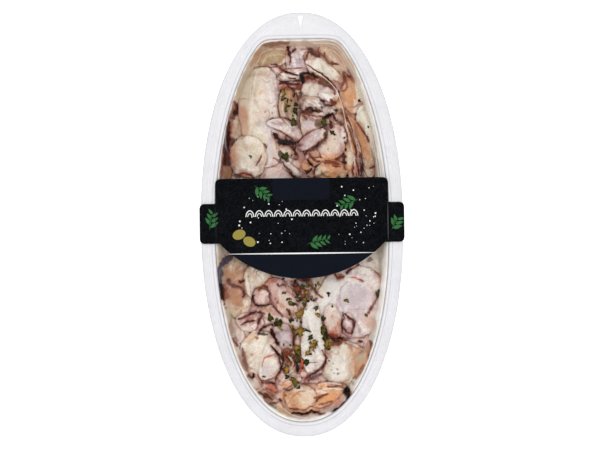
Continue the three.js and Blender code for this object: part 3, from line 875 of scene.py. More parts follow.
@dataclass
class Marinade:
    """Shallow pool of oily marinade on the floor, with jelly round it that climbs the wall."""

    low: float = 1.3
    depth: float = 1.1
    foot_inset: float = 4.3
    inset: float = 2.4
    climb: float = 0.7
    steps: int = 240
    rim_rows: int = 28
    rim_steps: int = 1300
    section: tuple[Point, ...] = (
        (7.4, 0.05), (6.2, 1.9), (5.0, 4.6), (3.8, 7.9), (2.6, 10.9), (1.5, 12.8),
        (0.6, 13.5), (0.5, 13.2), (1.0, 11.4), (1.7, 0.6), (2.6, 0.16),
    )

    def build(self) -> None:
        """Makes the pool, then the jelly at its rim."""
        high = self.low + self.depth
        rows = [
            (self.foot_inset + 6, self.low),
            (self.foot_inset, self.low),
            (self.inset, high - 0.15),
            (self.inset - self.climb, high + 0.2),
            (self.inset - self.climb + 0.15, high + 0.35),
            (self.inset, high + 0.12),
        ]
        rows += [(self.inset + further, high) for further in (0.6, 2, 4, 9, 26)]
        rings = np.stack([SHAPE.cavity_ring(inset, z, self.steps) for inset, z in rows])
        middle = np.array([0, SHAPE.cavity_middle, 0])
        piece = loft("marinade_pool", rings, middle + [0, 0, self.low], middle + [0, 0, high])
        oil = OilFinish().make()
        x, y, _ = corners_in(piece).T
        # Painted shade: the pool turns mauve away from the wall, so that the gaps between the slices
        # read dark.
        deep = 0.85 * smooth(3.5, 6, SHAPE.depth_inside(x, y))
        set_colours(piece, Painter.blend(self.stain(x, y), Tone.MAUVE, deep))
        hand_in(piece, oil, "marinade", ("marinade",))
        self.rim(high, oil)

    def rim(self, level: float, oil: bpy.types.Material) -> None:
        """Makes the jelly that fills the gap between the slices and the wall, painted by place.

        Its section is the closed curve through points given as insets and heights over the pool.

        Args:
            level: Height of the pool.
            oil: The marinade's material.
        """
        rows = round_trip(np.array(self.section) + [0, level], self.rim_rows)[::-1]
        steps = self.rim_steps
        rings = np.stack([SHAPE.cavity_ring(inset, z, steps) for inset, z in rows])
        first = np.arange(steps)
        following = (first + 1) % steps
        low = (np.arange(len(rows)) * steps)[:, None]
        high = np.roll(low, -1, axis=0)
        quads = np.stack([low + first, low + following, high + following, high + first], -1)
        none = np.zeros((0, 3), int)
        piece = new_object("marinade_rim", rings.reshape(-1, 3), quads.reshape(-1, 4), none)
        x, y = rings[:, :, 0], rings[:, :, 1]
        colour = Painter.blend(self.stain(x, y), Tone.PURPLE, 0.55 * self.skin_side(x, y))
        depth = SHAPE.depth_inside(x, y)
        right = smooth(-14, 6, x) * (1 - smooth(75, 105, y))
        colour = Painter.blend(colour, Tone.FROST, right * (1 - smooth(1.4, 6, depth)))
        painter = Painter()
        tones = painter.marks(colour, x, y, painter.distances(x, y))
        bare = 1 - smooth(0.0, 1.0, depth - self.bare_width(x, y) + 0.5 * noise(x, y, 3, 21))
        skin = 1 - smooth(0.7, 1.1, np.hypot((x + 52) / 6, (y + 32) / 20))
        skin = np.maximum(skin, 1 - smooth(0.8, 1.1, np.hypot((x - 24) / 12, (y + 111) / 11)))
        # The bare strip stands for the white wall, painted brighter than the plastic as light against
        # the shade of the narrow gap.
        tones = Painter.blend(tones, Tone.GLARE, 0.95 * bare * (1 - skin))
        set_colours(piece, tones.reshape(-1, 3))
        hand_in(piece, oil, "marinade")

    @staticmethod
    def bare_width(x: Array, y: Array) -> Array:
        """How far in from its rim the jelly shows the white wall in painted light, most on the right and
        at the foot.
        """
        right = smooth(5, 30, x) * (1 - smooth(70, 105, y)) * smooth(-72, -58, y)
        return 0.6 + 0.4 * smooth(-25, -60, y) + 2.2 * right + 0.5 * smooth(-95, -115, y)

    @staticmethod
    def skin_side(x: Array, y: Array) -> Array:
        """1 on the left side above the label, where dark skin lies against the wall."""
        return smooth(38, 43, -x) * smooth(32, 42, y + 3 * noise(x, y, 6, 8)) * (1 - smooth(70, 80, y))

    @staticmethod
    def stain(x: Array, y: Array) -> Array:
        """Colour of the marinade: tan at the wide end, pale toward the narrow one, with clouds."""
        share = smooth(20, 100, y + 12 * fractal(x, y, 16, 3))
        pale, tan = to_linear(((218, 206, 190), (212, 188, 168)))
        cloudy = 1 + 0.12 * fractal(x, y, 5, 4)[..., None]
        return mixed(pale, tan, share) * cloudy


@dataclass
class Film:
    """Clear lidding film, and thin pale lines on it that are painted highlights of its creases."""

    low: float = 18.3
    thickness: float = 0.3
    inset: float = 1.0
    flat_inset: float = 40.0
    steps: int = 240
    crease_height: float = 0.05

    def creases(self) -> list[Array]:
        """Outlines of the painted highlights along the creases, in plan."""
        lines = [
            ([(0.5, 102), (17, 91.5), (24.5, 81), (29.5, 60), (36, 29.8)], 0.55),
            ([(-31.2, 95), (-32.4, 70), (-33.8, 47)], 0.35),
            ([(-22, -108), (-8, -120.5), (7, -123)], 0.4),
        ]
        return [ribbon(points, width, 40) for points, width in lines]

    def contours(self) -> list[Array]:
        """Painted highlight lines that run along the cavity's wide end, where the film grips its wall.
        """
        outlines = []
        for inset, width, first, last in ((3.2, 0.4, 24, 86), (4.7, 0.3, 20, 80)):
            angle = np.radians(np.linspace(first, last, 120))
            inner = self.along(angle, inset + width / 2)
            outer = self.along(angle, inset - width / 2)
            outlines.append(np.vstack([outer, inner[::-1]]))
        return outlines

    def along(self, angle: Array, inset: float) -> Array:
        """Plan points that run inset inside the cavity's rim, at directions from its middle."""
        radius = SHAPE.cavity_radius(angle, inset)
        y = SHAPE.cavity_middle + radius * np.sin(angle)
        return np.column_stack([radius * np.cos(angle), y])

    def build(self) -> None:
        """Makes the sheet and the painted highlights of its creases."""
        high = self.low + self.thickness
        insets = (self.flat_inset, self.inset, self.inset, self.flat_inset)
        rows = zip(insets, (self.low, self.low, high, high))
        rings = np.stack([SHAPE.flange_ring(inset, z, self.steps) for inset, z in rows])
        sheet = loft("film_sheet", rings, np.array([0, 0, self.low]), np.array([0, 0, high]))
        hand_in(sheet, FilmFinish("clear_film").make(), "clear_film", ("top_film",))
        # Pale half-opaque lines on the film: painted highlights for the light caught along its creases.
        outlines = self.creases() + self.contours()
        lines = prisms("film_highlight_lines", outlines, high, high + self.crease_height)
        hand_in(lines, FilmFinish("film_line_highlight", (238, 234, 228), 0.34, 0.3).make(), "clear_film")


# ---- the slices


class Flesh(Enum):
    """Kinds of flesh: the record's slot, then its base, second and deep colours."""

    CREAM = ("octopus_cream", Tone.CREAM, Tone.WHITE, Tone.TAN)
    WHITE = ("octopus_white", Tone.WHITE, Tone.CREAM, Tone.MAUVE)
    LILAC = ("octopus_lilac", Tone.LILAC, Tone.WHITE, Tone.MAUVE)
    PINK = ("octopus_pink", Tone.ROSE_WHITE, Tone.PINK, Tone.MAUVE)
    BEIGE = ("octopus_beige", Tone.BEIGE, Tone.CREAM, Tone.BROWN)
    ORANGE = ("octopus_orange", Tone.ORANGE, Tone.CREAM, Tone.RED_BROWN)
    OLIVE = ("octopus_olive", Tone.OLIVE_TAN, Tone.BEIGE, Tone.BROWN)
    SKIN = ("octopus_skin", Tone.SKIN, Tone.MAUVE, Tone.DARK)


@dataclass(frozen=True)
class Look:
    """How one slice looks: its flesh, the skin left on its edge, and how uneven it is."""

    name: str
    flesh: Flesh
    thick: float = 1.8
    skin: float = 0.3
    wrinkles: float = 0.24
    rounding: float = 0.9
    tint: Tone | None = None


@dataclass(frozen=True)
class Stroke:
    """A painted line on the slices, along a smooth curve through a few points."""

    tone: Tone
    width: float
    strength: float
    points: Array

    @classmethod
    def table(cls, text: str) -> tuple["Stroke", ...]:
        """Strokes of a table, whose rows hold tone, width and strength, then the points.

        Args:
            text: The table.

        Returns:
            The strokes, in the order of painting.
        """
        rows = read_rows(text)
        return tuple(
            cls(Tone[tone], float(width), float(strength), np.array(points).astype(float))
            for (tone, width, strength), *points in rows
        )

    def distance(self, x: Array, y: Array) -> Array:
        """Distance from the curve over half the stroke's width at the nearest place.

        The width narrows toward both ends by a square root of a sine, and noise makes its sides
        uneven. Points far from the curve get a large number.

        Args:
            x: Across the tray.
            y: Along the tray.

        Returns:
            The distances, 1 at the stroke's side.
        """
        line = curve_through(self.points, 8 * len(self.points))
        found = np.full(x.shape, 99.0)
        margin = 3.2 * self.width
        low, high = line.min(0) - margin, line.max(0) + margin
        near = (x > low[0]) & (x < high[0]) & (y > low[1]) & (y < high[1])
        if not near.any():
            return found
        px, py = x[near], y[near]
        px = px + 0.35 * noise(px, py, 1.7, 33)
        py = py + 0.35 * noise(px, py, 1.7, 34)
        start, way = line[:-1], np.diff(line, axis=0)
        along = (px[:, None] - start[:, 0]) * way[:, 0] + (py[:, None] - start[:, 1]) * way[:, 1]
        share = np.clip(along / (way**2).sum(1), 0, 1)
        dx = px[:, None] - start[:, 0] - share * way[:, 0]
        dy = py[:, None] - start[:, 1] - share * way[:, 1]
        distance = np.hypot(dx, dy)
        nearest = distance.argmin(1)
        pick = np.arange(len(px))
        place = (nearest + share[pick, nearest]) / len(way)
        ends = 0.2 + 0.8 * np.sqrt(np.sin(np.clip(place, 0.001, 0.999) * math.pi))
        uneven = 1 + 0.45 * noise(px, py, 1.6, 31) + 0.25 * noise(px, py, 0.7, 32)
        found[near] = distance[pick, nearest] / (self.width / 2 * ends * uneven)
        return found


@dataclass(frozen=True)
class Patch:
    """A painted oval on the slices, with a soft uneven edge."""

    tone: Tone
    strength: float
    turn: float
    at: Array
    half: Array

    @classmethod
    def table(cls, text: str) -> tuple["Patch", ...]:
        """Patches of a table, whose rows hold tone, strength and any turn, then middle and halves.

        Args:
            text: The table.

        Returns:
            The patches, in the order of painting.
        """
        found = []
        for (tone, strength, *turn), *oval in read_rows(text):
            middle, half = np.array(oval).astype(float)
            found.append(cls(Tone[tone], float(strength), float(turn[0] if turn else 0), middle, half))
        return tuple(found)

    def mask(self, x: Array, y: Array) -> Array:
        """1 in the middle of the patch, and 0 outside its oval, with an uneven edge between.

        Args:
            x: Across the tray.
            y: Along the tray.

        Returns:
            The mask from 0 to 1.
        """
        found = np.zeros(x.shape)
        reach = 1.5 * max(self.half)
        near = (np.abs(x - self.at[0]) < reach) & (np.abs(y - self.at[1]) < reach)
        if not near.any():
            return found
        px, py = x[near], y[near]
        lean = math.radians(self.turn)
        dx, dy = px - self.at[0], py - self.at[1]
        u = (dx * math.cos(lean) + dy * math.sin(lean)) / self.half[0]
        v = (dy * math.cos(lean) - dx * math.sin(lean)) / self.half[1]
        size = self.half.mean()
        uneven = 0.25 * fractal(px, py, max(size * 0.5, 0.8), 41)
        found[near] = 1 - smooth(0.6, 1.15, np.hypot(u, v) + uneven)
        return found


DARK_TONES = (Tone.SKIN, Tone.PURPLE, Tone.RED_BROWN, Tone.BROWN, Tone.DARK, Tone.BLACK)
PALE_TONES = (Tone.WHITE, Tone.CREAM, Tone.ROSE_WHITE, Tone.GLARE)
BED = 3.6
LOOKS: tuple[Look, ...] = (
    Look("bed_head", Flesh.SKIN, BED),
    Look("bed_left", Flesh.SKIN, BED),
    Look("bed_right", Flesh.SKIN, BED),
    Look("bed_middle_left", Flesh.CREAM, BED),
    Look("bed_middle_right", Flesh.BEIGE, BED),
    Look("bed_low_left", Flesh.SKIN, BED),
    Look("bed_low_right", Flesh.CREAM, BED),
    Look("bed_foot", Flesh.SKIN, BED),
    Look("middle_left", Flesh.PINK, skin=0.0),
    Look("middle_right", Flesh.ORANGE, skin=0.0),
    Look("olive", Flesh.OLIVE, skin=0.0),
    Look("corner", Flesh.CREAM, skin=0.0, tint=Tone.BEIGE),
    Look("tan_round", Flesh.ORANGE, skin=0.0, tint=Tone.BEIGE),
    Look("pale_edge", Flesh.CREAM, skin=0.0, tint=Tone.PALE_GREEN),
    Look("tan_band", Flesh.ORANGE, tint=Tone.TAN),
    Look("side_strip", Flesh.BEIGE, skin=0.0),
    Look("sucker_strip", Flesh.ORANGE, 2.4),
    Look("skin_left", Flesh.SKIN, tint=Tone.PLUM),
    Look("scalloped", Flesh.BEIGE, skin=0.0, tint=Tone.STONE),
    Look("pink_low", Flesh.PINK),
    Look("big_white", Flesh.WHITE, skin=0.0),
    Look("disc", Flesh.CREAM, skin=0.0),
    Look("neck_fold", Flesh.LILAC),
    Look("frill", Flesh.WHITE),
    Look("long_cream", Flesh.CREAM),
    Look("brown_fold", Flesh.SKIN),
    Look("ringed", Flesh.BEIGE, tint=Tone.OLIVE_TAN),
    Look("lilac_fold", Flesh.LILAC),
    Look("rough", Flesh.WHITE),
    Look("crescent", Flesh.LILAC, 2.8, skin=0.0),
    Look("pink_round", Flesh.PINK),
    Look("finger", Flesh.LILAC, 3.0),
    Look("cream_shred", Flesh.CREAM),
    Look("cream_strip", Flesh.WHITE),
    Look("orange_left", Flesh.ORANGE, tint=Tone.TAN),
    Look("orange_right", Flesh.ORANGE, tint=Tone.ORANGE),
    Look("left_beige", Flesh.BEIGE, skin=0.0, tint=Tone.TAN),
    Look("left_cream", Flesh.CREAM, skin=0.0),
    Look("pale_left", Flesh.LILAC),
    Look("right_cream", Flesh.CREAM, skin=0.0),
    Look("right_round", Flesh.LILAC, skin=0.0, tint=Tone.LILAC),
    Look("dark_fold", Flesh.SKIN, tint=Tone.SKIN),
    Look("pink_band", Flesh.PINK, tint=Tone.PINK),
    Look("small_disc", Flesh.PINK, 2.6),
    Look("purple_fold", Flesh.PINK),
    Look("mottled", Flesh.LILAC, tint=Tone.GREY_LILAC),
    Look("shreds", Flesh.SKIN),
    Look("big_cream", Flesh.CREAM, skin=0.0),
    Look("big_beige", Flesh.BEIGE, skin=0.0, tint=Tone.CREAM),
    Look("orange_foot", Flesh.ORANGE, skin=0.0, tint=Tone.ORANGE),
    Look("orange_curl", Flesh.ORANGE, skin=0.0),
    Look("grey_strip", Flesh.BEIGE),
    Look("cream_bits", Flesh.PINK),
    Look("white_tall", Flesh.WHITE, tint=Tone.FROST),
    Look("white_fold", Flesh.WHITE, skin=0.0, tint=Tone.PINK),
    Look("loop", Flesh.LILAC, 2.4),
)

STROKES = Stroke.table(
    # dark herbs and painted shadow down the left of the white tall slice
    # painted highlight along the red-brown strip
    # painted highlight: pink glints on the brown fold
    # painted shade between the slices in the brown hollow
    # painted shade in the deep hollow and along its edges
    # painted shadow along the fold of the big white slice
    # painted shadow: brown below the long slice's dark edge
    # painted sheen on the dark purple line
    """
# the wide end, left: olive slice, folded neck, frill
BROWN 2.6 0.5, -25 114.6, -15 115.4, -7 115.6
CREAM 0.9 0.55, -23 112.6, -17 113, -11 113
BEIGE 3.2 0.6, -24 109.4, -18 110, -12.5 109.4
TAN 2.6 0.6, -24 113.5, -28.5 107, -31.5 101
MAUVE 1.1 0.75, -27 101.7, -22 102, -19 101.2
PURPLE 1.4 0.85, -18.5 102.6, -16 102.3, -14.3 101.8
MAUVE 0.9 0.5, -20 101, -17.5 100.6, -15 101.6
TAN 2.2 0.5, -14.3 102.6, -11 106, -9 110, -8.6 113
PURPLE 2 0.95, -8.2 113.6, -7 110.5, -6.4 107.8
SKIN 1 0.85, -6.2 108, -5.8 105.5, -6.8 102.2
PURPLE 1.3 0.8, -2.3 112.5, -4 111.5, -5.6 109.3
WHITE 1.8 0.6, -9.5 107, -10.6 102.5, -8 99.6
MAUVE 0.9 0.75, -6 100, -2 100.2, 4 100.1
GREY_LILAC 0.9 0.7, -3.5 105, 0 105.3, 4 105
GREY_LILAC 0.8 0.6, -7 103, -3 103.3, 3 103
GREY_LILAC 0.8 0.7, -2 98.2, 1 98.4, 5 98
BROWN 1.8 0.8, -13.2 101, -11.7 99.2, -10 98
RED_BROWN 1.4 0.85, -10.5 97.9, -8 97, -5 96.4
DARK 1.2 0.9, -10 97.8, -5 96, -1.3 95
WHITE 1.2 0.6, -16 99.5, -12 96.5, -7 94.8, -2.5 94.2
MAUVE 0.9 0.75, -15.5 98, -13 96, -10.5 94.2
PURPLE 0.8 0.8, -8 94, -5 93.2, -2.8 93.4
GREY_LILAC 1 0.7, -10 92.6, -6 91.8, -2.5 92
MAUVE 2.4 0.5, -15.5 90, -12 90, -9 90.4
PURPLE 1.5 0.95, -13.5 90.1, -10 90.5, -6 89.9, -0.5 89.9
PINK 0.7 0.7, -7 88, -5 88.3, -3.4 87.7
DARK 0.9 0.7, -8 88.4, -5.5 87, -3 85.8
# the wide end, right: long slice, dark hollow, folded skin
SKIN 1.2 0.9, 5.2 110.8, 4.4 107.5, 3 104.4
MAUVE 1.3 0.75, 0.5 112.2, 3 111.9, 5.5 112.2
SKIN 2.4 0.8, 6.3 109.9, 9 108.8, 12.3 106.9
SKIN 1.4 0.6, 8.5 111.7, 12 109.7, 15 107.3
BROWN 1.6 0.75, 15.5 109.7, 15.8 107, 18 104, 21 102.5, 24.3 102
CREAM 0.8 0.6, 15.5 111.7, 20.5 111, 26 105.5, 28.7 100.3
MAUVE 0.8 0.4, 20 110.4, 23.5 107.7, 27.3 102
DARK 0.75 0.9, 4 102.3, 10 98.2, 15 95, 18.5 91.8, 21.5 88, 24.7 83.3
HERB_GOLD 1.2 0.4, 9 96.9, 13 94, 16 91.5, 18.3 89.8
BROWN 2 0.75, 10.5 95, 14 92, 18 89.3, 20.2 87.1
SKIN 2 0.6, 27.5 96.7, 28.5 92.5, 26.5 88, 25.5 85.6
MAUVE 2.6 0.65, 21.5 91.8, 24.5 89, 26 86
RED_BROWN 0.9 0.7, 27.5 97.6, 30 95.5, 32 92.5, 34 90.3
MAUVE 1.6 0.5, 29.5 100, 33 94.5, 35.5 91.5
MAUVE 1.1 0.7, 30 74.5, 35 75.2, 39.3 77.6
DARK 1.8 0.95, -1 95.3, 3 96.4, 8 95.9, 11.3 92.8
BLACK 2.6 0.97, 0.6 95.5, 1.8 92.5, 1.6 90
RED_BROWN 2.8 0.8, 3.5 94.3, 6.5 94.6, 9.5 92.7
SKIN 2.4 0.7, 11.5 91.2, 16 88.8, 20.3 86.6
HERB_OLIVE 1 0.6, 13.5 91.5, 16.5 90.2, 19.3 88.3
RED_BROWN 1.5 0.75, 19.5 86.8, 21.5 85, 22.2 82.6
BROWN 2.2 0.85, 19.3 79.3, 21 77.6, 22.8 76.6
BLACK 1.5 0.95, 12.3 79.5, 14.5 77.5, 16.3 75.9, 20.8 75.6
DARK 1.7 0.95, 0.6 72.3, 5 72.9, 9 72.2, 13.8 71.9
DARK 1.2 0.8, 3 72.8, 5.2 74.6, 8 74.2
SKIN 0.9 0.7, 9 74.6, 11 73, 13.2 72
PURPLE 1.2 0.85, 0.3 71.2, 4 71.3, 7.5 71
GREY_LILAC 0.7 0.75, 6 79.5, 9.5 76.8, 12.7 73.3
GREY_LILAC 0.7 0.75, 9.5 79.3, 12.5 76.5, 15.5 72.6
BLUE_GREY 0.6 0.7, 11.8 77.4, 14.8 74.6, 18.3 70.8
GREY_LILAC 0.7 0.6, 3 78.8, 6 76.7, 9 74.8
BROWN 1.7 0.85, 0.8 70, 3 68, 3.8 66.7
BLACK 2.2 0.95, 13.8 67.2, 17 68.7, 19.2 69.8, 20.8 71
WHITE 2 0.5, -22 92, -19.5 85, -19 77
MAUVE 1.5 0.35, -18 93, -16 87, -15.6 80, -14.4 74
BEIGE 1.2 0.7, -12.4 79, -13 73, -11 67, -8 63.5
CREAM 1.1 0.8, -10.6 78, -11.3 73, -9.6 68.6, -7 66
SKIN 0.8 0.55, -13.6 82, -14.4 75, -13 69, -10 64.4
MAUVE 0.9 0.45, -40 80.4, -36 80.9, -30.5 79.8
WHITE 1.3 0.45, -27.5 99, -29.5 90, -30.8 80, -31.4 68, -31.8 58
GREY_LILAC 0.9 0.5, -25 93.5, -21.5 91, -18.5 91.8
GREY_LILAC 0.8 0.5, -23 80, -20 77.6, -17 78.4
MAUVE 0.7 0.5, -21.4 74, -20 71.5, -20.8 68.6
# above the label, left: dark skin at the wall, round slice, hollow
PURPLE 1.5 0.95, -43 79, -40.7 75.8, -40.6 72.5, -42.2 69.5
DARK 1.3 0.9, -43.3 71, -41.5 72.5, -40.2 70.8
PURPLE 1.7 0.8, -45.3 67.5, -43.8 68.8, -42.3 68
MAUVE 1.1 0.7, -43.3 79, -44.6 73, -46.2 66.5
PURPLE 2.8 0.95, -46 66.5, -46.3 61, -46.8 56
SLATE 1.8 0.85, -47.8 61, -48.4 56, -48.7 51
PLUM 3.4 0.7, -46.2 54.5, -46.3 49, -46.2 44
SKIN 2.6 0.65, -46.3 44.5, -46.8 41, -46.4 38
MAUVE 1.2 0.75, -48.8 52, -50 45, -51.6 36, -52.8 30.3
SKIN 4 0.8, -46 64, -47.4 56, -48.2 47, -49.2 38
PURPLE 2 0.8, -46.6 61, -48.2 53, -49 45, -50 38
SLATE 1.2 0.6, -47.4 59, -48.6 52, -49 46
RED_BROWN 1 0.7, -50.2 38, -51 33, -51.4 29.6
DARK 1.2 0.7, -45 66, -45.8 60, -46.6 54, -46.2 47
GREY_LILAC 1.4 0.5, -49.6 57, -50.4 50, -51.2 42, -52.4 34
DARK 0.9 0.6, -48 50, -48.6 44, -48.4 38
GREY_LILAC 1 0.6, -47.4 59, -48 53, -47.6 47
BLUE_GREY 1.3 0.5, -46 43, -45.4 39, -45.8 35
RED_BROWN 1.9 0.9, -39.6 33, -36 33, -32.5 31.6, -30.3 30.2
SALMON 0.7 0.7, -37.2 34, -35.5 33.6, -33.5 33
MAUVE 1.5 0.55, -42 53, -39 55.5, -35.5 56.8
SKIN 0.9 0.8, -24 52.3, -22.7 50.5, -22.4 48.8
PURPLE 0.8 0.75, -25.6 44.5, -26.5 41.5, -29.3 37.8
BEIGE 0.8 0.7, -22.5 49, -23.6 46.2, -25.4 44.4
WHITE 0.7 0.6, -24.5 44.5, -25.5 41, -28 37.8
GREY_LILAC 1.3 0.8, -19.5 65.5, -15 64.2, -11 62.9
MAUVE 1.3 0.85, -13.6 69.2, -11 66.3, -8.3 63.6
MAUVE 1.5 0.65, -19 60.5, -18.3 57.5, -16 53.5, -15.5 47.5
DARK 2.8 0.97, -17.4 58.7, -15.5 56, -13 54
DARK 4 0.97, -15 53, -11 52.8, -6 52.1, -2.6 51.6
DARK 1.7 0.95, -6.2 50.7, -4.8 48.7, -4.3 47
HERB_DARK 3.6 0.85, -14.4 46.7, -12 43.8, -8 40.4
PLUM 2.2 0.8, -18 42.6, -14.5 41.2, -11 39.8
PURPLE 1.3 0.95, -12 39.3, -9 36, -6.8 33.5, -4.6 30.2
PURPLE 2.4 0.7, -6.5 31.6, -5 30.4, -3 30
# above the label, middle and right: finger, round slice, suckers, bands
MAUVE 1 0.85, 8.7 61.2, 5 58.2, 1.5 55.6
SKIN 1 0.9, 1.7 55.8, -1 53.7, -3.5 52
PURPLE 1.8 0.95, 15 58.5, 15.9 55.5, 14 53, 10.5 50.2, 7 47.4, 3.5 46.4
DARK 1.7 0.95, 3.6 47.3, 3.1 44.7
PURPLE 1.7 0.9, -3.6 50.5, -4.5 47.8, -3 45.4, 1 45, 3.3 45.2
PURPLE 2 0.85, 18.4 66.5, 19.4 63.5, 19.2 61
RED_BROWN 1.8 0.85, 21.5 41.8, 25 43, 27.7 45.3
BROWN 1.1 0.85, 4.8 47, 6 43.5, 9.5 41
SKIN 1 0.85, 6.3 42.7, 9.5 40.3, 12.3 40.6
DARK 1.2 0.95, 3.3 42.3, 5.5 39, 8 36.7
DARK 1 0.9, 8 36.7, 9.6 36.8, 11.7 38.4
PURPLE 1.5 0.9, 2.3 34.7, 4.5 33.2, 7 36
RED_BROWN 1.8 0.75, 14.3 38.7, 19 39.7, 24.3 38
DARK 0.9 0.85, 19.7 37.4, 22.5 36.8, 25.3 36.5
HERB_GOLD 1.6 0.9, 13 32.7, 15 31, 18.3 30.2
HERB_GOLD 1 0.8, 13.2 34.6, 13.1 31.5
DARK 1.2 0.95, 20.6 71, 22 67.2, 24.5 65, 27.3 63.7
RED_BROWN 1.8 0.75, 26.3 71.2, 28.5 68.5, 30.3 65.7
ROSE_WHITE 0.8 0.8, 30 69.3, 31.7 65, 33.2 60, 34.8 53, 36.4 46
BROWN 0.9 0.7, 29.2 70, 30.8 65.5, 32.2 61.5
BROWN 1.2 0.75, 29.3 63.5, 32 57, 34 50, 34.9 43
PURPLE 0.9 0.85, 27.6 42.5, 27.4 37.5, 28.4 34
PURPLE 0.9 0.85, 33.2 40, 32.8 35, 33 30
PURPLE 0.9 0.85, 34.4 41, 36.5 36, 36.8 30.5
PURPLE 1.7 0.9, 37.4 46, 38.3 41, 38.7 36, 38 30.5
BLUE_GREY 0.7 0.75, 38.2 42.3, 38.6 37.7
TAN 4.6 0.5, 34.5 65, 38 57, 41.3 48, 43.7 40
SKIN 1.4 0.75, 35.8 64.8, 39.3 59.2, 42 55.5, 43.7 52
PURPLE 1.1 0.8, 43.7 35.8, 45.3 35.9, 47 37
BEIGE 1.8 0.45, 41 71.5, 44.7 62, 46.8 53, 48.7 42, 50.2 32
GREY_LILAC 0.9 0.5, 45.5 57.5, 47.7 49.5, 49.8 39, 50.8 31
# the wide end, left: contours of the wall under the marinade
CREAM 0.8 0.6, -29.5 100.5, -26.5 106, -23 111, -15 112.4, -8 112
OLIVE_TAN 0.9 0.7, -27.5 101, -24.5 106, -21.5 109.6, -15 110.4, -9 110
CREAM 0.8 0.5, -26 100.5, -23 105, -20 107.9, -14 108.6, -9.5 108
# below the label, left: blue-grey skin rim, mottled slice, small disc
TAN 1.6 0.55, -46.8 -19.4, -51 -22.3, -54 -27
SLATE 4.4 0.95, -45 -19.8, -49.2 -22.6, -52 -26.2
SLATE 4.6 0.95, -51.2 -23.5, -52.8 -30, -52.8 -35, -51.8 -41
BLUE_GREY 0.9 0.6, -51.6 -26.5, -52.5 -30, -52.7 -34
DARK 3.6 0.97, -52.4 -37, -51.8 -42, -50.5 -48
RED_BROWN 1.2 0.6, -50.4 -40, -50 -44, -49.4 -48
PURPLE 1.7 0.85, -41 -35.2, -39 -36, -36.8 -35
PLUM 2.4 0.8, -48.3 -34.5, -46.5 -37, -43.5 -38.7, -41.5 -38.7
PURPLE 1.8 0.75, -42 -39, -39.5 -40, -37.7 -42, -37.4 -44.5, -38.6 -46.4
WHITE 2.2 0.5, -35.5 -30, -35.3 -36, -34.7 -43, -33.6 -49
BEIGE 0.9 0.75, -34.2 -35, -33.3 -40, -33 -45
DARK 1.5 0.97, -31 -44.3, -32 -47, -31 -49.7
DARK 1.3 0.95, -31.2 -49.7, -29 -51.6, -25 -51.6, -20.7 -50.7
PLUM 1.4 0.85, -21.7 -43.8, -21 -47.5, -20.2 -50.7
BROWN 1.5 0.85, -28.3 -42.2, -26 -39.5, -23 -39.4, -21.4 -43
MAUVE 2.2 0.75, -20.7 -41, -20 -48, -17 -53, -13.3 -57.7
PURPLE 1 0.8, -20.6 -50.3, -17.5 -53.6, -15 -57, -13 -59
PURPLE 1.3 0.85, -16.6 -37.6, -14.5 -38.8, -12 -38.5, -10.8 -40
BROWN 1.7 0.75, -10.6 -53.8, -8.5 -56.5, -7.3 -60.3
MAUVE 1 0.6, -9.8 -42.5, -6.5 -45.5, -4 -47.5
PURPLE 1.8 0.95, -41.7 -60.2, -36.5 -58.3, -32 -56.2, -28 -55.7, -24.7 -57.1
PURPLE 1.6 0.9, -39.7 -63.6, -36 -61.9, -31.3 -60.9
PURPLE 1.8 0.95, -25.2 -57.7, -28 -60.5, -28.8 -64
PLUM 1.6 0.8, -28.8 -63.5, -30.2 -67
DARK 1.4 0.97, -29.3 -70.5, -27 -67, -24 -65, -21 -64, -17.8 -64.4
HERB_DARK 2.2 0.9, -28.8 -69.8, -26 -70, -22.6 -70
# below the label, middle: stem, dark folds, red slivers
BROWN 1.3 0.85, 3.8 -37.8, 7 -41.5, 10.5 -45.5, 12.7 -47.2
PURPLE 1.3 0.85, -7.2 -38.3, -5 -39.6, -2 -38
PURPLE 1.1 0.8, 5.9 -49.1, 8 -48, 9.4 -46.6
SALMON 1.2 0.55, 12 -33.7, 17 -32.7, 21 -31.4
RED_BROWN 1.7 0.9, 20.8 -31.4, 22.5 -34, 26.7 -33.5
PURPLE 1.5 0.9, 28 -31.9, 29.5 -29.5, 31.3 -28.3
RED_BROWN 1.2 0.8, 31 -28.8, 34 -27, 36.3 -25.8
SALMON 1.1 0.95, 30.3 -33.8, 34.5 -34.7, 39 -36.9
RED_BROWN 0.8 0.7, 36 -35.3, 39 -36.8
MAUVE 0.8 0.7, 36.7 -25.7, 37.4 -28
# below the label, right: round slice, loop, skin edges
SKIN 1.2 0.75, 46.7 -43, 47.3 -46.5, 46 -50.5, 43.5 -54.5, 41.7 -57.3
GREY_LILAC 1.2 0.6, 25.5 -55, 23.6 -48, 24.6 -41, 28.7 -36.8
GREY_LILAC 0.9 0.5, 28 -54.3, 34 -54.8, 40 -53.8
WHITE 1.4 0.4, 28 -38.5, 34 -37.3, 40 -39.5, 44.5 -44.5
PURPLE 1.5 0.95, 25.4 -56.3, 26 -60, 24.7 -63.5, 26 -67, 28.7 -69.8, 31 -70
PURPLE 1.6 0.95, 26.8 -57.3, 29.3 -60, 32.1 -61.3, 32.4 -64.5, 31.5 -68, 30.4 -70.7
SALMON 1 0.85, 22.7 -62.3, 21.3 -65, 20.6 -67.7
SALMON 1.1 0.85, 20.5 -67, 21 -70, 17.8 -70.7
MAUVE 1.6 0.5, 33 -62, 36 -66.5, 36 -70.5
MAUVE 1.2 0.5, 30 -72.5, 36 -72.8, 41 -71
RED_BROWN 5.4 0.8, 15.5 -70.4, 20 -73.3, 25.3 -74.8
DARK 2.2 0.75, 16.5 -71.6, 20 -74, 23.3 -75.2
BROWN 2 0.6, 17.5 -76.4, 20.5 -76.8, 23.5 -75.7
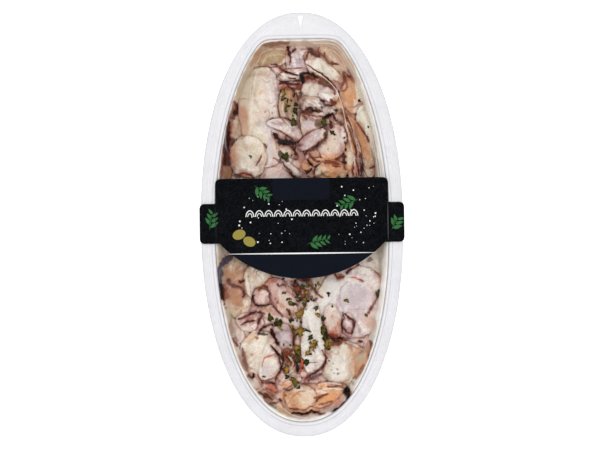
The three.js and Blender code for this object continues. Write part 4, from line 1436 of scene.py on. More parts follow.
TAN 1.5 0.8, 25 -75.5, 29 -77, 33 -79, 36.5 -80
DARK 1.5 0.97, 42.2 -74.3, 43.4 -76, 42.5 -79
RED_BROWN 1.2 0.8, 42.4 -78.7, 41.4 -82.5, 40 -85.4
MAUVE 2.8 0.5, 13.8 -79.5, 16.7 -82, 17 -86
ORANGE 3.6 0.55, 42.4 -78, 40 -85, 36.5 -92, 31 -98.5
RED_BROWN 0.9 0.7, 43.4 -79, 41.6 -86, 38 -92.6, 33 -99
BLACK 1.6 0.97, 29 -104.6, 28.6 -108, 27.2 -111
DARK 0.9 0.75, 43.3 -78, 42 -83, 40.6 -86.5
BROWN 1 0.7, 38.6 -89.6, 35 -95.2, 31.6 -99
DARK 0.9 0.85, -11.4 -84, -9 -86.5, -8 -90.6
PURPLE 0.8 0.8, -6.4 -84.4, -5.6 -87.6, -6.6 -91
CREAM 0.8 0.7, -9.8 -84, -7.4 -86.4, -6.8 -89.6
# the narrow end: pale slices, veins, black skin
DARK 2.2 0.92, -20.7 -66.3, -19 -70, -17.5 -74, -15.7 -76.3
DARK 1.7 0.95, -20.6 -76.5, -18 -80, -16 -82.5, -12.8 -86.3
PURPLE 1.8 0.85, -7.5 -65.8, -6 -70, -6 -75, -6.6 -78.5
SALMON 1 0.9, -18.3 -82, -21 -83.5, -24.5 -85, -25.8 -88, -26.9 -90.8
DARK 1.3 0.95, -17.5 -81, -15.5 -85, -14.5 -90, -15.5 -94.5, -18 -99, -18.2 -102
SKIN 1.6 0.75, -39 -78.5, -38.2 -84, -36.6 -90, -35.3 -94
DARK 1.3 0.9, -36 -95, -33.7 -97.3, -31.8 -97.4
DARK 1.1 0.85, -32.3 -94.7, -31.8 -97.7
TAN 1.9 0.75, -29.7 -95.7, -28 -99.5, -27 -103.3
SALMON 1.5 0.9, -33.3 -103.3, -31 -105, -28.3 -104.4
DARK 1.5 0.95, -26.7 -101, -22 -101.2, -18.5 -102, -17.2 -105.2
RED_BROWN 1.2 0.9, -24.7 -104.3, -21 -106, -18.5 -107.3, -17 -106.4
DARK 1.4 0.95, -29 -106, -26 -108.8, -23.7 -110.6
BROWN 3.4 0.85, -25.5 -108.2, -22.5 -109.7, -19.3 -111.3
SLATE 2.2 0.6, -28 -110.3, -23 -114.2, -17.5 -116.7
BROWN 0.9 0.8, -22.3 -113.7, -19 -114, -16.3 -113.2
TAN 1.3 0.6, -14.7 -104.5, -13 -101, -9.6 -99
PURPLE 1.1 0.85, -13.2 -105, -10 -105.9, -7.2 -104.3
DARK 1 0.9, -16.2 -111.4, -13.8 -113.4
WHITE 0.8 0.9, -14.3 -113.7, -12.5 -115.2, -10.7 -116.3
TAN 1.5 0.85, -10.7 -114.7, -7 -110, -3.5 -107, 1.7 -106.4
BROWN 1.7 0.7, -9.2 -117.3, -6 -117.8, -3.8 -118.1
BLACK 1.3 0.97, -8.3 -120.4, -3 -120.7, 0.5 -121.2, 3.6 -119.9, 4.5 -118.3
BLACK 1.4 0.97, 4.5 -118.5, 7 -119.8, 10 -120.7, 14 -121
BLACK 1.5 0.97, 13 -121, 17 -119.5, 21 -117.8, 24 -115.3, 27 -112.3, 28.7 -109
BROWN 1.1 0.75, 5 -113.9, 8 -112.6, 12 -109.6, 14.7 -108.2
BROWN 1 0.6, 9 -115.3, 14 -114, 18 -112.9
WHITE 1.8 0.7, 4.5 -107.2, 10 -107, 14.3 -107.8
CREAM 1.3 0.8, -3 -108, 2 -106.6, 6 -105.8
CREAM 1.2 0.8, -2.5 -112.4, 3 -113.6, 7.5 -112.6
WHITE 1.4 0.75, 12 -105.6, 18 -105, 24.5 -105.6
RED_BROWN 0.7 0.6, 6 -110.8, 11 -110, 15.5 -108.6
RED_BROWN 0.8 0.5, 3 -116, 9 -117.4, 14 -116.6, 19 -113.6
TAN 1.2 0.6, -9 -104, -2 -102.6, 6 -102.4, 12 -103.4
SKIN 1.1 0.8, -45.2 -71.6, -43.4 -74.6, -42.2 -77.4
MAUVE 2.2 0.5, -46 -60, -46.6 -66, -45 -71
BROWN 1.2 0.9, 14.7 -103.9, 19 -103.7, 23.5 -103.2
TAN 2.2 0.6, 21.5 -101.2, 26 -100.5, 29.5 -99.3
SKIN 1.3 0.85, 11.3 -80.2, 14 -83.7, 14.6 -86.7
PURPLE 1.7 0.97, 14.6 -86, 12.5 -90.5, 10 -93, 6 -95.2, 1.3 -98.1
PURPLE 1 0.85, 0 -99, 4 -99.4, 8.3 -98.7
MAUVE 1.1 0.7, -4.7 -100.9, -1 -100, 3.2 -98.8
HERB_DARK 2.2 0.85, -3.5 -77.3, -4 -82, -4 -86.3
DARK 2 0.85, -4.6 -86, -4 -92, -3.4 -95.6
"""
)

PATCHES = Patch.table(
    # painted light against the label's shadow on the right cream slice
    # painted shade in the deep hollow
    # painted shade in the deep hollow at the middle left
    """
CREAM 0.4 6, -27 72, 12 30
DARK 0.7 -22, -11 53, 7.5 2.4
GLARE 0.35, -15 34, 7 5
FROST 0.35, 29 -39, 17 12
STONE 0.35, 8 86, 8 5
STONE 0.35, 20 53, 7 8
PALE_GREEN 0.4 -40, 13 100, 7 5
STONE 0.3, -33 46, 8 9
ROSE_WHITE 0.35, -22 84, 6 12
WHITE 0.4, -27 -84, 9 13
BEIGE 0.35 -20, 34 -88, 7 9
PALE_GREEN 0.85 12, 41.5 65, 3 7
FROST 0.4 12, 40.5 67, 2 5
ORANGE 0.55, 5 38, 4.5 4
OLIVE_TAN 0.5, -8 76, 4 7
CREAM 0.4, -7 70, 4 3
ROSE_WHITE 0.6, 41 -27, 7 5
ROSE_WHITE 0.5 10, -42 -71, 4 7
ORANGE 0.55, 14 -111, 9 4.5
CREAM 0.5 20, -8 -113, 3.4 2.6
TAN 0.6, -12 -50.5, 3.4 3
RUST 0.4, -42 -46, 5 6
STONE 0.35, 19 -62, 3.4 5
GREY_LILAC 0.45, -13 -72, 5 6
RUST 0.35 14, 38 58, 3 12
TAN 0.5, 18 35, 8 4
MAUVE 0.3 4, -49 48, 3.4 15
PLUM 0.7 20, -47 -36, 2.6 2.4
PLUM 0.75, -42.5 -39, 2.6 1.6
PLUM 0.7, -38 -43, 1.5 2.4
TAN 0.5 4, -50 -32, 4 11
RED_BROWN 0.35 30, 24 70, 4 5
CREAM 0.45, 18 52, 7 8
CREAM 0.4 8, 4 -109, 9 3.4
ROSE_WHITE 0.85, -15 34, 7 5
TAN 0.4 14, 33 62, 7 24
ORANGE 0.5, 22 37, 9 7
TAN 0.3 -40, 20 106, 8 6
OLIVE_TAN 0.4, -6 76, 5 8
WHITE 0.6, 40 -27, 6 6
RUST 0.35 6, -44 -42, 5 10
STONE 0.5 12, -45 -60, 5 14
STONE 0.55 -6, -38 62, 6 24
ROSE_WHITE 0.35 14, -15 66, 5 20
LILAC 0.6, -19.5 49, 3.2 12
PINK 0.4 20, -16 40, 3 7
ORANGE 0.45, 12 41, 9 4
TAN 0.45 16, 38 60, 3.4 16
ORANGE 0.3 20, 30 72, 5 9
TAN 0.55, -43.5 46, 2.4 7
FROST 0.5, 14 -42, 9 8
FROST 0.45, 6 -66, 6 22
LILAC 0.5, 35 -46, 10 9
ROSE_WHITE 0.5, 44 -58, 6 12
FROST 0.5 -20, 24 -90, 9 12
ORANGE 0.45 6, 2 -112, 26 9
MAUVE 0.4, -44 -64, 2.4 6
WHITE 0.4, -36 -70, 5 6
MAUVE 0.5 22, -39.5 -87, 1.8 6
TAN 0.45 8, -43 -40, 7 14
OLIVE_TAN 0.6, -20 108, 11 6
DARK 0.8, -6.8 108.7, 1.2 1.3
RED_BROWN 0.8, -5 87.6, 6.6 2.7
PURPLE 0.8, 0.4 84, 1.7 1.4
RED_BROWN 0.7, -0.5 88, 2.3 3
SALMON 0.6, -11.7 87.8, 2.2 1.8
TAN 0.6, -6 82.6, 6 3.6
STONE 0.75 -10, -34 88, 7 14
STONE 0.6, -29 98, 9 3.4
ORANGE 0.5 -40, -25.5 84.5, 1 2.6
PINK 0.5, -30 78.5, 3 1.6
PINK 0.4, -20 97, 3 2
PINK 0.35 20, -24 70, 7 5
MAUVE 0.6, -16.5 75.6, 1.1 1
MAUVE 0.6, -22.5 72, 1 0.9
BROWN 0.6, -18.2 71.3, 0.5 1.3
GREY_LILAC 0.4, -26 64.5, 4 2.6
TAN 0.55, -36.5 71, 2.6 7
STONE 0.6, -37.5 61, 5 5
STONE 0.85 -16, -39 90, 4.5 13
TAN 0.5, -36 67, 4.4 11
MAUVE 0.25, -37 68, 3.8 9.5
BEIGE 0.5, -34.5 61, 4 5
LILAC 0.4, -17.5 86, 4.5 12
LILAC 0.4, -21 62, 4.5 7
PURPLE 0.85 -10, -42 73, 1.9 4
SALMON 0.8, -42.3 74.7, 0.9 1.4
PURPLE 0.9, -44.5 53.4, 3 2.6
BROWN 0.6, -44.5 53.5, 1 1.2
TAN 0.75, -47 34, 4 5.4
SKIN 0.5, -43.5 35.5, 1.8 3.4
PURPLE 0.85, -41 31.4, 3.2 1.7
TAN 0.5, -42 42, 3.4 7
PINK 0.25, -16 35, 8 4.5
MAUVE 0.4, -18.5 37.5, 1.6 1.2
BROWN 0.6 20, -9 68, 1.5 2.2
TAN 0.5 10, -10 73, 3.2 6
BLUE_GREY 0.45 10, -9.5 71, 1.5 3
CREAM 0.6, -5 69.3, 2.6 1.4
DARK 0.9 -20, 7.2 111.6, 2.2 1.7
BLACK 0.97 -25, 1.2 94.3, 2.2 3
MAUVE 0.6 -12, 9 91, 7 2.2
TAN 0.6, 26 93, 3 4.4
OLIVE_TAN 0.6, 25.5 97.3, 2.2 1.1
BROWN 0.6, 22.3 102.3, 1.7 1
ORANGE 0.5, 31.5 85.5, 5.4 9.5
PALE_GREEN 0.75 12, 37.3 84, 2.2 6.4
ORANGE 0.7, 24 78.6, 3 3.2
BROWN 0.75, 27 72, 3.2 2.2
DARK 0.95, 22.6 72.6, 1.5 1.1
BLACK 0.97 -15, 14 78.6, 1.9 1.1
BROWN 0.5, 11 82.8, 0.9 1
DARK 0.9 20, 5.5 74, 1.9 1.1
DARK 0.9, 13.6 74.3, 1 1.3
BROWN 0.75, 7.2 67.3, 1.9 1.2
HERB_OLIVE 0.75 12, 13.3 65.3, 5 2.7
DARK 0.5 12, 12.5 64, 4 2.2
PLUM 0.85, 16.8 61.3, 2.2 2.4
LILAC 0.8 40, 4.5 64, 4 3.6
DARK 0.9, -13.5 53, 2.2 2.4
SLATE 0.5, -12.6 53.2, 1.4 1
CREAM 0.6 -30, -10.5 48, 3.4 1.7
PURPLE 0.85, 15.9 57, 1.7 3.4
ORANGE 0.5, 17 43.6, 5.5 2.4
SKIN 0.5, 17.2 48, 0.7 0.9
SALMON 0.6, 21.6 54.3, 0.8 0.7
DARK 0.7 10, 24 41.9, 2.7 1.1
TAN 0.7, 8 44.5, 4 3.2
TAN 0.7, -0.5 42.6, 3.6 2.7
ORANGE 0.6 -35, 1.5 38.3, 4.5 2.8
DARK 0.9 -30, 4 33.4, 1.4 1.7
CREAM 0.6, 12 34.2, 6 3.4
RED_BROWN 0.7, 22 38.2, 2.7 1.6
TAN 0.6, 24 34, 4 3
DARK 0.8, 23.5 30.2, 1.6 0.9
HERB 0.9, 4.4 30.7, 1.1 0.9
SKIN 0.6, 27.7 59, 0.8 0.8
BLACK 0.97, 27.8 55, 1 0.9
DARK 0.9 20, 28.1 51.9, 1 1.6
DARK 0.95, 28.5 47.3, 0.9 1.2
DARK 0.95, 28 43.2, 1 1.4
DARK 0.95, 28.3 39, 0.9 1.3
DARK 0.95, 29.4 30.9, 1.1 1.2
CREAM 0.6 -40, 24.5 67.5, 3 2.6
CREAM 0.55 2, 30.8 45, 1.8 9
SALMON 0.85, 35 34.5, 1.7 4.6
SKIN 0.55 10, 42.6 53, 1.2 1.8
OLIVE_TAN 0.7, 42.5 40.5, 1.5 2
CREAM 0.75, 42 32, 3 3.2
PALE_GREEN 0.8 12, 38 70, 4 6
PALE_GREEN 0.8 12, 43.5 60, 2.6 9
SALMON 0.8, -50.3 -48.6, 0.9 1.2
DARK 0.9, -50.1 -50.3, 0.9 0.8
MAUVE 0.7, -49.2 -52.6, 1.1 1.4
PURPLE 0.7 20, -47.2 -35.5, 1.8 2.2
SKIN 0.7 -10, -43.8 -38.8, 2.6 1.7
TAN 0.7, -38.6 -37.8, 2 1.5
PINK 0.6, -40 -42.4, 1.7 1.8
TAN 0.5, -42.5 -47.5, 3.5 4.4
WHITE 0.5, -36.5 -49.5, 2.6 2.4
MAUVE 0.5, -41.5 -50.5, 1.5 1.1
STONE 0.5, -44 -57, 4 4
TAN 0.7, -25.5 -39.7, 3 1.6
SALMON 0.75, -19 -35.6, 4 1.9
SALMON 0.5, -23 -36.5, 2.2 1.2
PINK 0.6, -19 -39.5, 2.2 3
WHITE 0.4 25, -12.3 -46.5, 3.4 7
PLUM 0.6, -17.5 -47.4, 1.1 1.1
BROWN 0.7, -16.2 -49.6, 1 1.3
HERB_GOLD 0.5, -10 -47.9, 1.2 1
TAN 0.65 -12, -24 -53.7, 6 2.2
PINK 0.6, -18 -57, 3.4 2.6
MAUVE 0.5 10, -33 -59.3, 5 1.3
WHITE 0.8, -25.3 -62, 2.3 2.3
BROWN 0.85 -20, -30 -72, 1.7 1.1
WHITE 0.5, -14.5 -60.5, 2 1.4
BLUE_GREY 0.7, -17.3 -61.8, 1.3 1.6
RED_BROWN 0.85 -30, -2.6 -41, 2.4 2.7
RED_BROWN 0.6, 1.5 -42.5, 2 2
LILAC 0.8, -1 -37.6, 2.5 1.5
BROWN 0.7, 1.2 -52, 1.7 3.2
SKIN 0.95 20, 7.8 -53.4, 1.9 1.3
CREAM 0.6, 11 -40, 6 6
WHITE 0.5 -20, 15 -52, 6 3
SALMON 0.9 -10, 24.3 -32.5, 2 1.2
PLUM 0.7 20, 43 -23, 2.3 1.7
HERB_GOLD 0.5, 43.8 -30, 0.9 0.7
TAN 0.6, 49 -33, 1.3 3.2
PURPLE 0.9, 48.4 -45.6, 1.3 2.2
DARK 0.8, 48.9 -52.3, 0.8 0.8
PURPLE 0.8 -35, 43.2 -54.2, 1.2 1.9
DARK 0.85, 41.8 -56.9, 1.1 1.1
PINK 0.5, 42 -61.5, 6 5
BEIGE 0.4, 44 -64, 4 5
GREY_LILAC 0.25, 33 -44.5, 8 7
MAUVE 0.35, 22.7 -47, 1.4 2.4
SALMON 0.45, 18.3 -59, 1.3 1.5
SALMON 0.85, 18.3 -68.9, 2.4 1.4
MAUVE 0.6, 29.4 -67, 1.5 1.8
DARK 0.95 -5, 36.4 -75.3, 2 1.1
LILAC 0.8 -15, 31 -75.3, 3.4 1.6
SALMON 0.5 -10, 41 -78, 1.3 4
PURPLE 0.8, 16.4 -87.2, 0.9 0.8
PURPLE 0.7, 15.3 -85.4, 0.8 0.8
BLUE_GREY 0.8, 21.4 -92.7, 0.8 0.7
SKIN 0.8, 22 -95.6, 0.8 0.7
BLUE_GREY 0.7, 19.3 -95.4, 0.6 0.6
SKIN 0.7, 18.8 -89, 0.5 0.5
SKIN 0.6, 17.5 -93, 0.5 0.5
SKIN 0.8, 30.7 -100.6, 0.6 0.6
BLUE_GREY 0.6, 31.5 -101.7, 1 1.2
ORANGE 0.35, 32 -83, 5 4
ORANGE 0.4, 33 -91, 4 5
BLUE_GREY 0.9, -13 -69.6, 0.7 0.6
LILAC 0.6, -12 -70, 5 4.4
BLUE_GREY 0.45, -16 -70.5, 1.3 2.6
SKIN 0.8, -16.4 -76.5, 1.5 1
MAUVE 0.4, -12.5 -79, 3.4 2
MAUVE 0.6, -43 -73.3, 1.7 2.4
SKIN 0.7, -42.4 -76.7, 1 1
SKIN 0.7, -40.3 -75.6, 0.6 0.6
TAN 0.4, -40 -68, 1 4
MAUVE 0.7, -38.7 -88, 1.2 1.9
SALMON 0.6, -33 -82.8, 1.6 1
ORANGE 0.3, -34 -72, 5 4
LILAC 0.6, -23 -93, 5 5
DARK 0.95, -25.6 -97, 1.4 0.8
WHITE 0.8 20, -31.5 -100.5, 2.3 3.4
SALMON 0.6, -34 -95, 1.6 1.2
SALMON 0.9 -5, -20.7 -104, 3.8 2.3
PURPLE 0.8 10, -13 -89.3, 2.6 1.6
BROWN 0.55, -7.5 -87.5, 4.5 3
PINK 0.8, -7.3 -92, 2.8 2.2
CREAM 0.7, -7.5 -95, 2 1.7
ORANGE 0.6 30, -10.5 -103, 4 3
ORANGE 0.7, -12.5 -109, 3 3
BROWN 0.7, -11.6 -109, 1 0.9
CREAM 0.6, 1 -111.5, 5.5 4.2
TAN 0.6, -7 -114, 2.6 3
DARK 0.95, 14.3 -121.3, 1.4 0.9
BLACK 1 15, 27.5 -106.9, 2.6 3.8
RED_BROWN 0.7 40, 24.6 -103.4, 2.4 1.2
ORANGE 0.7, 16 -110.3, 4 3
PINK 0.6 12, 15 -116, 8 2.2
MAUVE 0.5, 22 -111.7, 1.3 1.6
SALMON 0.5 30, 22 -114.5, 3 1.5
PLUM 0.9 20, 7 -97.2, 4.4 1.5
"""
)


@dataclass
class Pile:
    """Height of what lies in the tray, on cells in plan."""

    cell: float = 0.5
    half_x: float = 60.0
    half_y: float = 130.0
    heights: Array = field(init=False)

    def __post_init__(self) -> None:
        """Starts with nothing in the tray."""
        shape = (int(2 * self.half_y / self.cell), int(2 * self.half_x / self.cell))
        self.heights = np.zeros(shape)

    def cells(self, x: Array, y: Array) -> tuple[Array, Array]:
        """Row and column of the cell under each plan point.

        Args:
            x: Across the tray.
            y: Along the tray.

        Returns:
            Rows and columns.
        """
        rows, columns = self.heights.shape
        row = np.clip(((y + self.half_y) / self.cell).astype(int), 0, rows - 1)
        column = np.clip(((x + self.half_x) / self.cell).astype(int), 0, columns - 1)
        return row, column

    def under(self, x: Array, y: Array, reach: int = 1) -> Array:
        """Highest point of the pile in the cells round each plan point.

        Args:
            x: Across the tray.
            y: Along the tray.
            reach: How many cells round each point count.

        Returns:
            The heights.
        """
        row, column = self.cells(x, y)
        rows, columns = self.heights.shape
        highest = np.zeros(x.shape)
        for dr in range(-reach, reach + 1):
            for dc in range(-reach, reach + 1):
                near = self.heights[
                    np.clip(row + dr, 0, rows - 1), np.clip(column + dc, 0, columns - 1)
                ]
                highest = np.maximum(highest, near)
        return highest

    def overhang(self, reach: int, rounds: int) -> Array:
        """Highest point within reach cells of every cell, averaged with its neighbours.

        Args:
            reach: How many cells round each one count.
            rounds: How often the heights are averaged.

        Returns:
            A height for every cell.
        """
        wide = self.heights
        for step in range(reach + rounds):
            p = np.pad(wide, 1, mode="edge")
            near = np.stack([p[1:-1, 1:-1], p[:-2, 1:-1], p[2:, 1:-1], p[1:-1, :-2], p[1:-1, 2:]])
            wide = near.max(0) if step < reach else near.mean(0)
        return wide

    def sample(self, grid: Array, x: Array, y: Array) -> Array:
        """Value of a grid over the cells at plan points, blended between the cells' middles.

        Args:
            grid: One value a cell.
            x: Across the tray.
            y: Along the tray.

        Returns:
            The values at the points.
        """
        rows, columns = grid.shape
        v = np.clip((y + self.half_y) / self.cell - 0.5, 0, rows - 1.001)
        u = np.clip((x + self.half_x) / self.cell - 0.5, 0, columns - 1.001)
        row, column = v.astype(int), u.astype(int)
        v, u = v - row, u - column
        low = grid[row, column] * (1 - u) + grid[row, column + 1] * u
        high = grid[row + 1, column] * (1 - u) + grid[row + 1, column + 1] * u
        return low * (1 - v) + high * v

    def cover(self, points: Array) -> None:
        """Raises the pile to points that lie close together on a surface."""
        row, column = self.cells(points[:, 0], points[:, 1])
        np.maximum.at(self.heights, (row, column), points[:, 2])


@dataclass
class Skeleton:
    """Underside of a slice's solid: its middle, its inner ring and its rim."""

    middle: Array
    inner: Array
    rim: Array

    @classmethod
    def of(cls, node: Piece) -> "Skeleton":
        """Reads the underside from a node's mesh.

        Its middle is the corner with most neighbours of those that look down. The inner ring is
        its neighbours, in order round it, and each corner of the rim is joined to two of them.

        Args:
            node: The slice's solid.

        Returns:
            The underside, in millimetres, with both rings counterclockwise.
        """
        work = bmesh.new()
        work.from_mesh(node.data)
        bmesh.ops.remove_doubles(work, verts=work.verts, dist=1e-5)
        work.normal_update()
        near = {v: {e.other_vert(v) for e in v.link_edges} for v in work.verts}
        down = [v for v in work.verts if v.normal.z < 0]
        middle = max(down, key=lambda v: len(near[v]))
        inner = cls.walked(near[middle], near)
        rim = []
        for i, corner in enumerate(inner):
            shared = near[corner] & near[inner[i - 1]] - {middle}
            rim.append(min(shared - set(inner), key=lambda v: (v.co.x, v.co.y)))
        places = [[list(v.co / MM) for v in ring] for ring in ([middle], inner, rim)]
        work.free()
        return cls(np.array(places[0][0]), np.array(places[1]), np.array(places[2]))

    @staticmethod
    def walked(corners: set, near: dict) -> list:
        """Corners of a ring, each joined to the next, counterclockwise.

        Args:
            corners: The ring's corners, in any order.
            near: The neighbours of each corner.

        Returns:
            The corners in order.
        """
        rest = sorted(corners, key=lambda v: (v.co.x, v.co.y))
        ring = [rest[0]]
        while len(ring) < len(corners):
            ring.append(next(v for v in rest if v in near[ring[-1]] and v not in ring))
        x, y = np.array([(v.co.x, v.co.y) for v in ring]).T
        area = (x * np.roll(y, -1) - y * np.roll(x, -1)).sum()
        return ring if area > 0 else ring[::-1]

    def length_round(self) -> float:
        """Length of the rim in plan."""
        return float(np.linalg.norm(np.diff(self.rim[:, :2], axis=0), axis=1).sum())


@dataclass
class Slice:
    """One slice of octopus, made over its solid."""

    look: Look
    seed: int
    spacing: float = 0.42
    inner_share: float = 0.55
    edge: float = 0.45
    least_gap: float = 0.04
    dents: float = 1.1
    growth: float = 0.5
    most_sag: float = 1.7
    sag_rounds: int = 12
    least_body: float = 0.12
    least_steps: int = 48
    least_rows: int = 10
    crowding: float = 1.4
    straightening: float = 0.08
    piece: Piece | None = None
    tones: Array | None = None
    surface: Array | None = None

    def grid(self) -> tuple[Array, Array]:
        """Plan and height of the underside on a grid of shares of the way out and directions.

        In plan the way out is the quadratic curve through the middle, the inner ring and the
        rim, as in the solid. The height runs straight between them, averaged over a short
        stretch so that it has no crease. The rows crowd together toward the rim.

        Returns:
            Shares of the way out, and the grid's points.
        """
        frame = Skeleton.of(bpy.data.objects["slice_" + self.look.name])
        steps = max(self.least_steps, int(frame.length_round() / self.spacing))
        size = np.linalg.norm(frame.rim[:, :2] - frame.middle[:2], axis=1).max()
        rows = max(self.least_rows, int(size / self.spacing * 0.85))
        share = 1 - (1 - np.linspace(0, 1, rows + 1)[1:]) ** self.crowding
        rim = round_trip(frame.rim, steps)
        inner = round_trip(frame.inner, steps)
        middle = frame.middle
        dent = 0.5 + 0.5 * fractal(rim[:, 0], rim[:, 1], 4.2, self.seed + 60)
        dent += 0.22 * noise(rim[:, 0], rim[:, 1], 1.3, self.seed + 61)
        way = middle[:2] - rim[:, :2]
        way /= np.linalg.norm(way, axis=1, keepdims=True)
        rim[:, :2] += way * (self.dents * np.clip(dent, 0, 1.2) - self.growth)[:, None]
        t = share[:, None, None]
        k = self.inner_share
        to_inner = (1 - t) * t / ((1 - k) * k)
        to_rim = t * (t - k) / (1 - k)
        points = middle + (inner - middle) * to_inner + (rim - middle) * to_rim
        heights = [
            self.straight(np.clip(share + shift, 0, 1), middle[2], inner[:, 2], rim[:, 2])
            for shift in (-self.straightening, 0, self.straightening)
        ]
        points[:, :, 2] = sum(heights) / 3
        return share, points

    def straight(self, share: Array, middle: float, inner: Array, rim: Array) -> Array:
        """Heights that run straight from the middle to the inner ring and on to the rim.

        Args:
            share: Shares of the way out.
            middle: Height of the middle.
            inner: Heights of the inner ring.
            rim: Heights of the rim.

        Returns:
            The heights on the slice's grid.
        """
        t = share[:, None]
        k = self.inner_share
        near = middle + (inner - middle) * t / k
        far = inner + (rim - inner) * (t - k) / (1 - k)
        return np.where(t < k, near, far)

    def build(self, pile: Pile, painter: "Painter") -> None:
        """Makes the slice and settles it on the pile.

        The top lies over the underside by edge + (thickness - edge) * body, where body rises from
        0 at the rim to 1 a little inside it by a quarter circle, so the cut edge is round.

        Args:
            pile: What lies in the tray so far.
            painter: Paints colours and folds by place.
        """
        share, base = self.grid()
        x, y = base[:, :, 0], base[:, :, 1]
        thick = self.look.thick
        t = share[:, None]
        floor = pile.under(x, y)
        lift = np.maximum(floor + self.least_gap - base[:, :, 2], 0)
        eased = self.blur(lift)
        room = np.clip(base[:, :, 2] - floor - self.least_gap, 0, self.most_sag)
        sag = self.blur(room, self.sag_rounds) * smooth(0.5, 1, t)
        size = np.linalg.norm(base[-1, :, :2] - base[0, :, :2], axis=1)
        inside = np.clip(size * (1 - t) / self.look.rounding, 0, 1)
        body = np.sqrt(1 - (1 - inside) ** 2)
        low = base[:, :, 2] + lift - np.minimum(sag, room) + self.edge * smooth(0.86, 1, t)
        far = painter.distances(x, y)
        fold = painter.relief(far) + self.look.wrinkles * fractal(x, y, 3.4, self.seed)
        fold += 0.25 * self.look.wrinkles * fractal(x, y, 1.2, self.seed + 50)
        high = base[:, :, 2] + eased - sag + self.edge + (thick - self.edge + fold) * body
        high = np.maximum(high, low + self.least_body * body)
        high[-1] = low[-1]
        top = np.stack([x, y, high], -1)[::-1]
        under = np.stack([x, y, low], -1)[:-1]
        rings = np.concatenate([under, top])
        middle = base[0].mean(0)
        lower = np.array([middle[0], middle[1], low[0].mean()])
        upper = np.array([middle[0], middle[1], high[0].mean()])
        self.piece = loft("flesh_" + self.look.name, rings, lower, upper)
        pile.cover(top.reshape(-1, 3))
        reach = size[None, :] * (1 - t)
        self.tones = painter.paint(self, x, y, reach, far)
        self.surface = np.stack([x, y, high], -1)

    def finish(self, pile: Pile, painter: "Painter", overhang: Array) -> Piece:
        """Paints shade on the slice where others lie over it, and writes its colours.

        Args:
            pile: All the slices.
            painter: Paints the shade where others lie over the slice.
            overhang: Highest point round each cell of the pile.

        Returns:
            The slice's object.
        """
        x, y, z = np.moveaxis(self.surface, -1, 0)
        tones = painter.crevice_shade(self.tones, x, y, pile.sample(overhang, x, y) - z)
        both = np.concatenate([tones[:-1], tones[::-1]]).reshape(-1, 3)
        set_colours(self.piece, np.vstack([both, tones[0].mean(0), tones[0].mean(0)]))
        return self.piece

    @staticmethod
    def blur(grid: Array, rounds: int = 6) -> Array:
        """Averages a grid with its neighbours, round and out, and keeps it at least as high.

        Args:
            grid: Heights on the slice's grid.
            rounds: How often they are averaged.

        Returns:
            The eased heights.
        """
        eased = grid
        for _ in range(rounds):
            padded = np.pad(eased, ((1, 1), (0, 0)), mode="edge")
            eased = (padded[:-2] + padded[2:] + np.roll(eased, 1, 1) + np.roll(eased, -1, 1)) / 4
        return np.maximum(eased, grid * 0.7)


